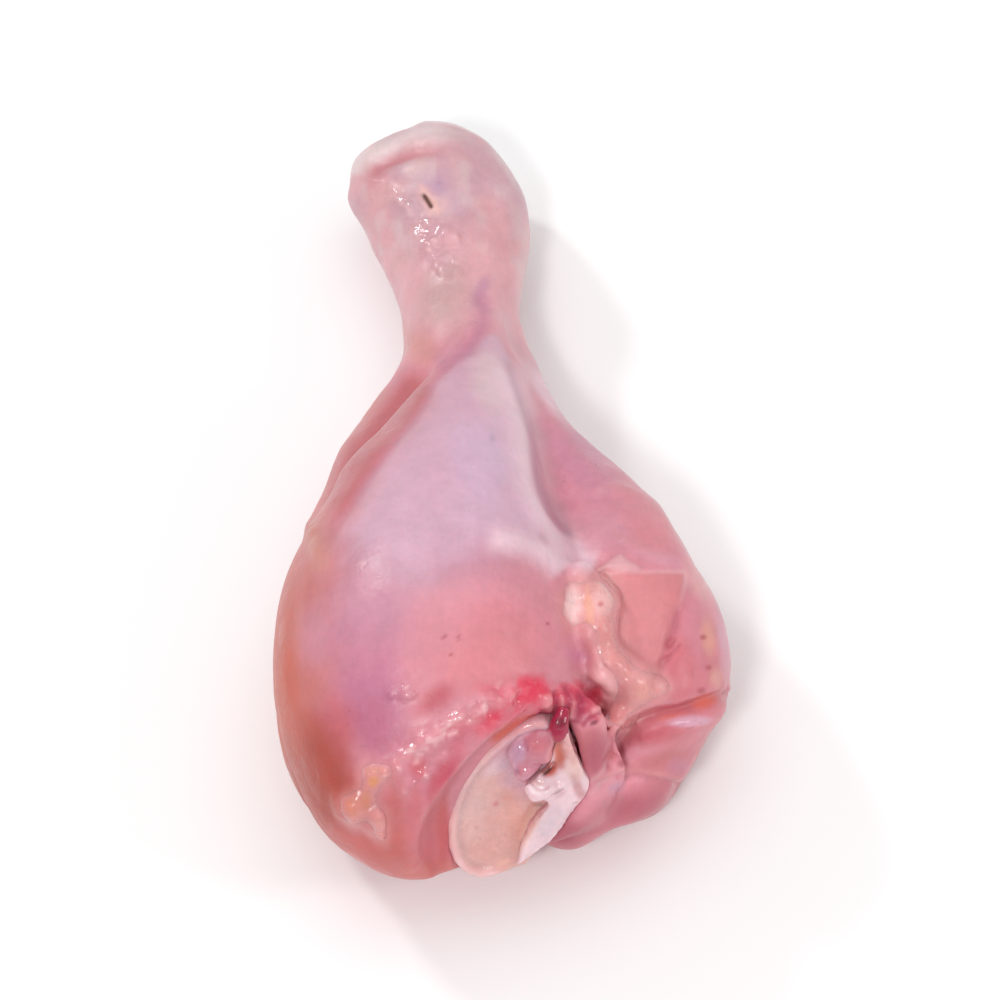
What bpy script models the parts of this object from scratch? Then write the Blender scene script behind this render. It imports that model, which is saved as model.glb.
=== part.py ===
"""A raw, skinless chicken drumstick lying on its side, in metres, +Z up.

The leg points along Y: the cut knee faces -Y, the hock (ankle) is at +Y, and the calf is on top.
Every piece is a loft of oval sections along a smooth spine. The muscles are fused into one solid by a
voxel remesh, which leaves the grooves between them, and then the bone's channel, the beds of the fat
and the flat underside are cut out of it.
"""

import math

import bmesh
import bpy
import numpy as np

MM = 0.001

# Driving dimensions, in millimetres.
GAP = 0.3                 # free space between a piece and the one cut to fit it
LYING_DEPTH = 1.2         # how far the soft underside is pressed flat by its own weight
ORIGIN = (0.54, 3.94, LYING_DEPTH)    # the stations' place for the origin: bottom centre of the box
MEAT_VOXEL = 1.1
MEAT_SHARE_KEPT = 0.14    # of the remeshed faces, after thinning out
PAD_VOXEL = 0.6
PAD_SHARE_KEPT = 0.2
SMOOTHING_ROUNDS = 5
RINGS_PER_SPAN = 6
MUSCLE_SIDES = 28

COLOURS = {
    "meat": (0.70, 0.29, 0.34, 0.36),
    "bone": (0.74, 0.46, 0.46, 0.42),
    "meniscus": (0.80, 0.60, 0.62, 0.30),
    "ligament": (0.60, 0.20, 0.24, 0.34),
    "fat": (0.80, 0.46, 0.36, 0.34),
}

# Each muscle is a list of stations: centre x, y, z, then half width and half height.
MUSCLES = {
    # the big calf muscle, the whole top and the left of the thick end
    "calf": [
        (-3.4, 33, 16.5, 3.0, 3.6),
        (-2.0, 24, 18.5, 4.8, 5.6),
        (-3.2, 13, 21.0, 7.6, 8.6),
        (-5.2, 2, 23.2, 11.2, 13.0),
        (-7.2, -9, 24.6, 15.4, 17.0),
        (-8.0, -20, 25.0, 19.6, 19.8),
        (-8.2, -31, 24.2, 20.6, 20.2),
        (-8.6, -41, 22.2, 18.8, 18.0),
        (-9.4, -48.5, 20.2, 14.6, 14.4),
        (-9.4, -53.5, 18.8, 8.4, 9.0),
        (-9.2, -56, 18.2, 3.0, 3.6),
    ],
    # the second head of the calf, on the right, which ends in a blunt step
    "inner_calf": [
        (2.0, 30, 13.5, 2.4, 4.0),
        (3.2, 19, 14.4, 3.6, 5.4),
        (6.0, 8, 16.0, 5.4, 7.8),
        (10.8, -3, 17.4, 8.2, 10.8),
        (15.3, -14, 18.4, 11.4, 13.6),
        (17.0, -24, 18.8, 13.0, 14.4),
        (17.8, -31, 18.8, 12.2, 12.8),
        (18.2, -36.5, 18.4, 8.6, 9.2),
        (18.4, -40, 18.0, 3.4, 4.2),
    ],
    # a slim muscle that shows as a band along the left edge
    "shin": [
        (-8.4, 33, 12.4, 2.8, 3.6),
        (-10.6, 22, 12.8, 4.2, 5.4),
        (-14.4, 10, 13.2, 5.8, 7.8),
        (-17.6, -2, 13.8, 7.2, 9.6),
        (-20.2, -14, 14.2, 8.2, 10.8),
        (-21.0, -26, 14.0, 8.2, 11.2),
        (-20.4, -36, 13.4, 7.2, 10.0),
        (-18.0, -44, 12.6, 4.4, 6.4),
    ],
    # the flexors, which fill the underside
    "flexors": [
        (-4.6, 36, 11.8, 4.2, 4.2),
        (-4.8, 24, 11.6, 7.4, 6.6),
        (-4.0, 11, 12.0, 11.4, 9.2),
        (-3.2, -2, 12.4, 16.0, 11.6),
        (-2.4, -16, 12.8, 21.0, 13.6),
        (-2.4, -27, 13.2, 22.4, 14.0),
        (-4.8, -36, 13.6, 19.0, 13.0),
        (-7.2, -43, 14.0, 13.4, 11.0),
        (-8.4, -48.5, 14.4, 7.0, 7.2),
    ],
    # a short bulge beside the knee, below the step on the right
    "knee_side": [
        (24.2, -21, 13.0, 2.6, 5.0),
        (23.2, -27, 12.8, 5.0, 8.4),
        (20.4, -33.0, 12.6, 6.8, 9.6),
        (16.0, -38.0, 12.2, 7.2, 9.4),
        (10.6, -42.0, 11.8, 6.6, 8.4),
        (5.6, -45.0, 11.4, 3.6, 5.4),
    ],
    # the raised rim of muscle over the knee, which ends in a blunt lip
    "knee_lip": [
        (-5.0, -28, 34.0, 7.0, 7.0),
        (-3.4, -36, 32.4, 8.6, 8.6),
        (-3.0, -43, 29.4, 8.2, 8.8),
        (-4.6, -48.5, 25.0, 5.6, 7.0),
    ],
    # tendons and thin muscle over the shaft of the bone
    "neck": [
        (-5.2, 18, 15.0, 6.0, 7.0),
        (-5.2, 26, 14.8, 7.8, 7.8),
        (-5.2, 33, 14.4, 8.3, 7.6),
        (-5.8, 40, 13.9, 9.0, 8.4),
        (-7.2, 47, 13.4, 10.2, 9.8),
    ],
    # the sleeve of tissue round the ankle joint, with one knob on each side
    "hock": [
        (-7.0, 42.5, 13.2, 7.0, 7.4),
        (-7.4, 46, 13.2, 10.0, 10.0),
        (-7.7, 51, 13.0, 11.4, 11.8),
        (-7.9, 55, 12.8, 11.6, 12.0),
        (-8.2, 58, 12.6, 10.8, 11.2),
        (-8.6, 60, 12.6, 9.0, 9.6),
    ],
    "hock_outer_knob": [
        (-11.6, 47, 13.6, 4.0, 5.0),
        (-13.2, 52, 14.0, 6.4, 8.2),
        (-13.4, 56.5, 14.0, 6.4, 8.0),
        (-12.6, 60, 13.4, 3.6, 5.0),
    ],
    "hock_heel": [
        (-1.6, 39, 14.0, 4.0, 5.0),
        (-0.8, 46, 14.0, 5.4, 7.8),
        (-1.2, 52, 13.8, 5.6, 8.0),
        (-3.2, 58, 13.2, 3.6, 5.0),
    ],
}

# The bone's spine, from the middle of the knee's face to the end of the hock.
BONE_SPINE = [
    (2.7, -48.6, 22.6),
    (2.6, -41.5, 18.9),
    (1.8, -32.0, 16.0),
    (0.0, -18.0, 14.6),
    (-2.4, 2.0, 14.2),
    (-4.6, 22.0, 14.2),
    (-6.2, 40.0, 13.8),
    (-7.8, 52.0, 13.2),
    (-9.2, 63.4, 12.8),
]
# Distance along the spine, half width and half height. The first rings dish the knee's face.
BONE_SECTIONS = [
    (1.9, 0.6, 0.9),
    (1.7, 2.8, 4.4),
    (1.2, 4.8, 7.8),
    (0.5, 6.3, 10.3),
    (0.1, 7.1, 11.7),
    (0.5, 7.7, 12.6),
    (1.7, 8.0, 13.0),
    (4.0, 8.0, 12.4),
    (7.5, 7.2, 10.0),
    (12.0, 5.8, 7.2),
    (19.0, 4.6, 5.0),
    (32.0, 4.0, 4.2),
    (60.0, 3.9, 4.0),
    (86.0, 4.2, 4.2),
    (95.0, 5.6, 5.4),
    (101.0, 7.8, 7.6),
    (105.5, 9.4, 9.2),
    (109.0, 10.2, 9.9),
    (112.0, 10.0, 9.6),
    (114.4, 8.8, 8.4),
    (116.0, 6.4, 6.0),
    (116.8, 2.8, 2.6),
]
BONE_SIDES = 26
KNEE_HEAD = 14.0          # length of spine over which the head keeps its own shape and turn
KNEE_ROLL = math.radians(-22)   # the head's long side leans to the right, seen from outside
HOCK_START, HOCK_RISE = 98.0, 9.0   # where the cleft between the hock's condyles begins and deepens
HOCK_CLEFT = 0.15         # its depth, as a share of the radius
HOCK_CLEFT_WIDTH = 0.34
SOCKET_FLARE = 1.5        # the socket in the meat opens by this much towards the outside
SOCKET_REACH = 14.0       # the cutter runs on this far outside the knee's face

# White gristle that lies on the right half of the knee's face: along the face, then across it.
MENISCUS_SPINE = [(2.4, 12.8), (3.4, 9.0), (4.7, 4.6), (4.9, 0.6), (4.1, -4.4), (3.2, -9.6)]
MENISCUS_RADII = [(1.0, 0.8), (2.1, 1.2), (3.2, 1.5), (3.0, 1.5), (1.9, 1.2), (0.9, 0.8)]
# The cut stump of a ligament beside it: across and along, half sizes, and how far it stands up.
LIGAMENT = ((-2.6, 7.2), (2.6, 4.0), 1.6)

# Pads of fat, each a chain of balls that flow together: centre x, y, z and radius.
FAT_PADS = {
    "fat_flank": [
        (10.2, -24.0, 34.6, 2.8),
        (12.6, -26.6, 33.8, 2.8),
        (11.6, -29.6, 33.4, 3.4),
        (13.6, -33.4, 31.0, 3.2),
        (16.4, -34.6, 29.6, 2.8),
        (18.6, -35.6, 27.4, 2.4),
        (15.0, -37.6, 26.2, 2.2),
    ],
    "fat_belly": [
        (-15.0, -48.4, 33.6, 2.2),
        (-16.4, -50.4, 31.0, 2.4),
        (-18.0, -51.6, 28.6, 2.6),
        (-15.0, -53.4, 27.8, 2.2),
    ],
}


def smooth_line(stations, steps):
    """A Catmull-Rom curve through the stations, whatever each one holds."""
    knots = np.array(stations, float)
    padded = np.vstack([2 * knots[0] - knots[1], knots, 2 * knots[-1] - knots[-2]])
    line = []
    for before, start, end, after in zip(padded, padded[1:], padded[2:], padded[3:]):
        for t in np.arange(steps) / steps:
            line.append(
                0.5 * (2 * start + (end - before) * t
                       + (2 * before - 5 * start + 4 * end - after) * t ** 2
                       + (3 * start - before - 3 * end + after) * t ** 3)
            )
    line.append(knots[-1])
    return np.array(line)


def frames_along(centres):
    """The sideways and upward directions of a section at each centre."""
    tangents = np.gradient(centres, axis=0)
    tangents /= np.linalg.norm(tangents, axis=1)[:, None]
    sideways = np.cross(tangents, (0, 0, 1))
    sideways /= np.linalg.norm(sideways, axis=1)[:, None]
    return sideways, np.cross(sideways, tangents)


def lofted(name, centres, sideways, upward, half_sizes, sides, shape=None):
    """A closed skin over oval sections, with both ends capped. shape() scales a section's radius."""
    bm = bmesh.new()
    angles = np.arange(sides) * 2 * math.pi / sides
    rings = []
    for i, (centre, side, up, (wide, high)) in enumerate(zip(centres, sideways, upward, half_sizes)):
        scale = shape(i, angles) if shape else np.ones(sides)
        points = (centre
                  + np.outer(scale * wide * np.cos(angles), side)
                  + np.outer(scale * high * np.sin(angles), up))
        rings.append([bm.verts.new(point * MM) for point in points])
    for ring, following in zip(rings, rings[1:]):
        for j in range(sides):
            k = (j + 1) % sides
            bm.faces.new((ring[j], ring[k], following[k], following[j]))
    bm.faces.new(rings[0])
    bm.faces.new(rings[-1])
    bmesh.ops.recalc_face_normals(bm, faces=bm.faces)
    mesh = bpy.data.meshes.new(name)
    bm.to_mesh(mesh)
    bm.free()
    return bpy.data.objects.new(name, mesh)


def muscle(name, stations):
    line = smooth_line(stations, RINGS_PER_SPAN)
    sideways, upward = frames_along(line[:, :3])
    return lofted(name, line[:, :3], sideways, upward, line[:, 3:], MUSCLE_SIDES)


class BoneSpine:
    """The bone's centre line, read by distance from the knee's face."""

    def __init__(self):
        self.line = smooth_line(BONE_SPINE, 12)
        steps = np.linalg.norm(np.diff(self.line, axis=0), axis=1)
        self.distance = np.concatenate([[0], np.cumsum(steps)])
        self.sideways, self.upward = frames_along(self.line)

    def at(self, distances):
        def read(values):
            return np.column_stack([np.interp(distances, self.distance, v) for v in values.T])
        centres = read(self.line)
        # Outside the knee's face the spine runs straight on.
        outward = (self.line[0] - self.line[1]) / np.linalg.norm(self.line[0] - self.line[1])
        distances = np.asarray(distances, float)
        centres += np.outer(np.maximum(0, -distances), outward)
        sideways, upward = read(self.sideways), read(self.upward)
        roll = (KNEE_ROLL * np.clip(1 - distances / KNEE_HEAD, 0, 1))[:, None]
        return (centres,
                sideways * np.cos(roll) + upward * np.sin(roll),
                upward * np.cos(roll) - sideways * np.sin(roll))


def bone_loft(name, sections, spine, grow=0.0):
    """A loft along the bone's spine: a three-sided head at the knee, two condyles at the hock."""
    sections = np.array(sections, float)
    centres, sideways, upward = spine.at(sections[:, 0])

    def lobes(i, angles):
        near_knee = max(0.0, 1 - max(sections[i, 0], 0.0) / KNEE_HEAD)
        near_hock = min(1.0, max(0.0, sections[i, 0] - HOCK_START) / HOCK_RISE)
        cleft = np.exp(-(np.cos(angles) / HOCK_CLEFT_WIDTH) ** 2)
        return (1 + near_knee * (0.04 * np.cos(2 * angles) + 0.05 * np.cos(3 * angles + 0.6))
                - near_hock * HOCK_CLEFT * cleft)

    return lofted(name, centres, sideways, upward, sections[:, 1:] + grow, BONE_SIDES, lobes)


def bone_cutter(spine):
    """The bone grown by the gap, with a flaring run out of the meat at the knee and at the hock."""
    grown = [(d, w + GAP, h + GAP) for d, w, h in BONE_SECTIONS[6:-4]]
    rim_wide, rim_high = grown[0][1], grown[0][2]
    outside = [
        (-SOCKET_REACH, rim_wide + 4 * SOCKET_FLARE, rim_high + 4 * SOCKET_FLARE),
        (-2.0, rim_wide + SOCKET_FLARE, rim_high + SOCKET_FLARE),
    ]
    end, wide, high = BONE_SECTIONS[-5]
    hock_end = [(end + d, wide + GAP + grow, high + GAP + grow) for d, grow in ((0.6, 0.0), (6.0, 1.5))]
    return bone_loft("bone_cutter", outside + grown + hock_end, spine)


def knee_face(spine, across, along, lift):
    """A point on the knee's face: millimetres across it, along it and out of it."""
    centres, sideways, upward = spine.at(np.array([0.0]))
    outward = np.cross(upward[0], sideways[0])
    outward *= np.sign(outward @ (spine.line[0] - spine.line[1]))
    return centres[0] + across * sideways[0] + along * upward[0] + lift * outward


def ligament(spine):
    """A low, uneven mound that stands on the knee's face."""
    (across, along), (half_across, half_along), height = LIGAMENT
    outward = knee_face(spine, 0, 0, 1) - knee_face(spine, 0, 0, 0)
    sideways = knee_face(spine, 1, 0, 0) - knee_face(spine, 0, 0, 0)
    upward = knee_face(spine, 0, 1, 0) - knee_face(spine, 0, 0, 0)
    shares = [(0.0, 0.86), (0.22, 1.0), (0.55, 0.94), (0.82, 0.70), (1.0, 0.34)]
    centres = np.array([knee_face(spine, across, along, 0) + (GAP + rise * height) * outward
                        for rise, _ in shares])
    sizes = np.array([(half_across * share, half_along * share) for _, share in shares])

    def uneven(i, angles):
        return 1 + 0.10 * np.cos(2 * angles + 1.0) + 0.08 * np.cos(3 * angles)

    repeat = (len(shares), 1)
    return lofted("ligament", centres, np.tile(sideways, repeat), np.tile(upward, repeat), sizes, 18, uneven)


def meniscus(spine):
    line = smooth_line([(*place, *radii) for place, radii in zip(MENISCUS_SPINE, MENISCUS_RADII)], 4)
    centres = np.array([knee_face(spine, across, along, GAP + thick)
                        for across, along, _, thick in line])
    tangents = np.gradient(centres, axis=0)
    tangents /= np.linalg.norm(tangents, axis=1)[:, None]
    outward = knee_face(spine, 0, 0, 1) - knee_face(spine, 0, 0, 0)
    sideways = np.cross(tangents, outward)
    return lofted("meniscus", centres, sideways, np.tile(outward, (len(line), 1)), line[:, 2:], 12)


def fat_pad(name, grow=0.0):
    """A lumpy pad of fat: balls that a remesh melts into one solid."""
    bm = bmesh.new()
    for *centre, radius in FAT_PADS[name]:
        ball = bmesh.ops.create_icosphere(bm, subdivisions=3, radius=(radius + grow) * MM)
        bmesh.ops.translate(bm, vec=[c * MM for c in centre], verts=ball["verts"])
    mesh = bpy.data.meshes.new(name)
    bm.to_mesh(mesh)
    bm.free()
    pad = bpy.data.objects.new(name, mesh)
    fuse(pad, PAD_VOXEL, PAD_SHARE_KEPT)
    return pad


def joined(name, objects):
    """One mesh that holds all of these, before the remesh fuses them."""
    bm = bmesh.new()
    for obj in objects:
        bm.from_mesh(obj.data)
        bpy.data.objects.remove(obj)
    mesh = bpy.data.meshes.new(name)
    bm.to_mesh(mesh)
    bm.free()
    return bpy.data.objects.new(name, mesh)


def floor_cutter():
    """A block whose top is the surface that the drumstick lies on."""
    bm = bmesh.new()
    bmesh.ops.create_cube(bm, size=1)
    bmesh.ops.scale(bm, vec=(0.2, 0.3, 0.04), verts=bm.verts)
    bmesh.ops.translate(bm, vec=(0, 0, -0.02 + LYING_DEPTH * MM), verts=bm.verts)
    mesh = bpy.data.meshes.new("floor_cutter")
    bm.to_mesh(mesh)
    bm.free()
    return bpy.data.objects.new("floor_cutter", mesh)


def fuse(obj, voxel, share_kept):
    """One skin over all the pieces of a mesh, softened, and thinned to fewer faces."""
    remesh = obj.modifiers.new("fuse", "REMESH")
    remesh.mode = "VOXEL"
    remesh.voxel_size = voxel * MM
    soften = obj.modifiers.new("soften", "SMOOTH")
    soften.factor = 0.5
    soften.iterations = SMOOTHING_ROUNDS
    thin = obj.modifiers.new("thin", "DECIMATE")
    thin.ratio = share_kept


def cut(obj, cutter):
    boolean = obj.modifiers.new("cut_" + cutter.name, "BOOLEAN")
    boolean.operation = "DIFFERENCE"
    boolean.solver = "EXACT"
    boolean.object = cutter


def finish(obj, material, collection):
    obj.data.materials.append(material)
    obj.data.shade_smooth()
    obj.location = [-c * MM for c in ORIGIN]
    collection.objects.link(obj)


def principled(name, red, green, blue, roughness):
    material = bpy.data.materials.new(name)
    material.use_nodes = True
    shader = material.node_tree.nodes["Principled BSDF"]
    shader.inputs["Base Color"].default_value = (red, green, blue, 1)
    shader.inputs["Roughness"].default_value = roughness
    return material


def main():
    for obj in list(bpy.data.objects):
        bpy.data.objects.remove(obj)
    drumstick = bpy.data.collections.new("raw_drumstick")
    cutters = bpy.data.collections.new("cutters")
    for collection in (drumstick, cutters):
        bpy.context.scene.collection.children.link(collection)
    materials = {name: principled(name, *look) for name, look in COLOURS.items()}

    spine = BoneSpine()
    meat = joined("meat", [muscle(name, stations) for name, stations in MUSCLES.items()])
    bone = bone_loft("bone", BONE_SECTIONS, spine)
    gristle = meniscus(spine)
    stump = ligament(spine)
    pads = [fat_pad(name) for name in FAT_PADS]

    fuse(meat, MEAT_VOXEL, MEAT_SHARE_KEPT)
    tools = [bone_cutter(spine), floor_cutter()]
    for pad in FAT_PADS:
        tool = fat_pad(pad, GAP)
        tool.name = pad + "_bed"
        tools.append(tool)
    for tool in tools:
        cut(meat, tool)
        tool.hide_render = True
        tool.display_type = "WIRE"
        tool.location = [-c * MM for c in ORIGIN]
        cutters.objects.link(tool)
    finish(meat, materials["meat"], drumstick)
    finish(bone, materials["bone"], drumstick)
    finish(gristle, materials["meniscus"], drumstick)
    finish(stump, materials["ligament"], drumstick)
    for pad in pads:
        finish(pad, materials["fat"], drumstick)


main()
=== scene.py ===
import math

import bmesh
import bpy
import numpy as np
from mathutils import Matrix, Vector
from mathutils.bvhtree import BVHTree
from mathutils.kdtree import KDTree


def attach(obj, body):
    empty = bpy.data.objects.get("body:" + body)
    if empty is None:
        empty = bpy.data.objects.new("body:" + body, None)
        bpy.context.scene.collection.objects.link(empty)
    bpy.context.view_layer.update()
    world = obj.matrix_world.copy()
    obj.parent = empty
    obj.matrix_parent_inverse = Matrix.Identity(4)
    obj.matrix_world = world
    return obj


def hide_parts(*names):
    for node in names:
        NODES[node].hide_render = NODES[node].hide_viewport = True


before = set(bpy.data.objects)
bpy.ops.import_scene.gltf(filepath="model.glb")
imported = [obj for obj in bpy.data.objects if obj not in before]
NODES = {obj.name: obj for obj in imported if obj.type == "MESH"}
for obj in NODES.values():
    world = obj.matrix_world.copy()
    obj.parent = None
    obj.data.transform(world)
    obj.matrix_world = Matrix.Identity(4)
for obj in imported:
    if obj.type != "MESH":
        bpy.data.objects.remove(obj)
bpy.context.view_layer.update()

# The raw chicken drumstick's looks. Lengths are in millimetres unless a name says metres.
MM = 0.001
FAR = 99.0              # a distance that stands for "not near enough to measure"
KNEE_STARTS = -40.0     # the knee's cut end lies below this y, and its collar of meat below the next
COLLAR_STARTS = -25.0
CURVE_STEPS = 6         # points on a drawn curve from each knot to the next
STRAND_SIDES = 12
THINNEST, WELD, TINY = 0.05, 0.002, 1e-9
SMOOTH, UNSHRINK = 0.5, 0.52
HASH_PRIMES = (73856093, 19349663, 83492791)

# The eye looks down at the leg from in front of its knee. Features are placed as (a, b): a mm to the
# right and b mm up, on the plane through the eye's target that faces it.
TILT = math.radians(56)
RIGHT = np.array((1.0, 0.0, 0.0))
UP = np.array((0.0, math.sin(TILT), math.cos(TILT)))
TOWARD = np.array((0.0, -math.cos(TILT), math.sin(TILT)))
TARGET = np.array((-0.5, -4.0, 17.0))
EYE_DISTANCE = 500.0
EYE = TARGET + TOWARD * EYE_DISTANCE
TARGET_PLACE = np.array((-0.5, -3.3))

# The cut knee's face: its middle, how far it tips up, and where it faces.
FACE_MIDDLE = np.array((2.2, -52.5, 21.4))
FACE_TIP = math.radians(28)
FACE_OUT = np.array((0.0, -math.cos(FACE_TIP), math.sin(FACE_TIP)))


def srgb(red, green, blue):
    """A colour given as 0 to 255 display values, as linear light."""
    c = np.array((red, green, blue), float) / 255
    return np.where(c <= 0.04045, c / 12.92, ((c + 0.055) / 1.055) ** 2.4)


# ------------------------------------------------------------------ numbers, noise and curves

def soft(x, low, high):
    """0 below low, 1 above high, smooth between them."""
    t = np.clip((x - low) / (high - low), 0, 1)
    return t * t * (3 - 2 * t)


def noise(points, size, seed=0):
    """Smooth value noise from -1 to 1, with features about `size` mm across."""
    p = points / size + seed * 17.31
    cell = np.floor(p).astype(np.int64)
    f = p - cell
    f = f * f * (3 - 2 * f)
    total = 0
    for step in np.ndindex(2, 2, 2):
        n = np.bitwise_xor.reduce((cell + step) * HASH_PRIMES, axis=1)
        n = ((n ^ (n >> 13)) * 1274126177) & 0x7FFFFFFF
        n = ((n ^ (n >> 15)) * 2246822519) & 0x7FFFFFFF
        value = (n & 0xFFFF) / 32767.5 - 1
        total = total + np.where(step, f, 1 - f).prod(axis=1) * value
    return total


def spline(padded):
    """A Catmull-Rom curve from the second point to the last but one."""
    line = []
    for before, start, end, after in zip(padded, padded[1:], padded[2:], padded[3:]):
        for t in np.arange(CURVE_STEPS) / CURVE_STEPS:
            line.append(0.5 * (2 * start + (end - before) * t
                               + (2 * before - 5 * start + 4 * end - after) * t ** 2
                               + (3 * start - before - 3 * end + after) * t ** 3))
    return line


def open_line(knots):
    knots = np.array(knots, float)
    padded = np.vstack([2 * knots[0] - knots[1], knots, 2 * knots[-1] - knots[-2]])
    return np.array(spline(padded) + [knots[-1]])


def closed_line(knots):
    knots = np.array(knots, float)
    return np.array(spline(np.vstack([knots[-1:], knots, knots[:2]])))


def measure(points, curve):
    """Each point's distance from a drawn curve, how far it is to the curve's right, and how far along."""
    best = np.full(len(points), FAR)
    side, along = np.zeros(len(points)), np.zeros(len(points))
    for k, (start, end) in enumerate(zip(curve, curve[1:])):
        span = end - start
        length = math.hypot(*span) + TINY
        gap = points - start
        t = np.clip(gap @ span / length ** 2, 0, 1)
        gap = gap - t[:, None] * span
        distance = np.hypot(gap[:, 0], gap[:, 1])
        closer = distance < best
        best[closer] = distance[closer]
        side[closer] = (gap @ np.array((span[1], -span[0])) / length)[closer]
        along[closer] = (k + t[closer]) / (len(curve) - 1)
    return best, side, along


def depth_inside(points, ring):
    """How far inside a closed curve each point is: below 0 outside it."""
    distance = measure(points, np.vstack([ring, ring[:1]]))[0]
    x, y = points[:, 0], points[:, 1]
    within = np.zeros(len(points), bool)
    for (x1, y1), (x2, y2) in zip(ring, np.roll(ring, -1, axis=0)):
        if y1 != y2:
            within ^= ((y1 > y) != (y2 > y)) & (x < (x2 - x1) * (y - y1) / (y2 - y1) + x1)
    return np.where(within, distance, -distance)


def seen(points):
    """Where points in space are drawn, as (a, b)."""
    offset = points - TARGET
    scale = 1 / (1 - offset @ TOWARD / EYE_DISTANCE)
    return np.column_stack([offset @ RIGHT * scale, offset @ UP * scale]) + TARGET_PLACE


def sight(a, b):
    """The direction from the eye through a drawn place."""
    offset = np.array((a, b)) - TARGET_PLACE
    line = TARGET + RIGHT * offset[0] + UP * offset[1] - EYE
    return line / np.linalg.norm(line)


# ------------------------------------------------------------------ skins: fine meshes as arrays

def rows_of(items, attribute):
    """An attribute of a mesh's points, three numbers to a row."""
    flat = np.empty(len(items) * 3, np.float32)
    items.foreach_get(attribute, flat)
    return flat.reshape(-1, 3)


def mesh_of(bm, name):
    mesh = bpy.data.meshes.new(name)
    bm.to_mesh(mesh)
    bm.free()
    return mesh


def joined_mesh(name, meshes):
    bm = bmesh.new()
    for mesh in meshes:
        bm.from_mesh(mesh)
    return mesh_of(bm, name)


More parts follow.
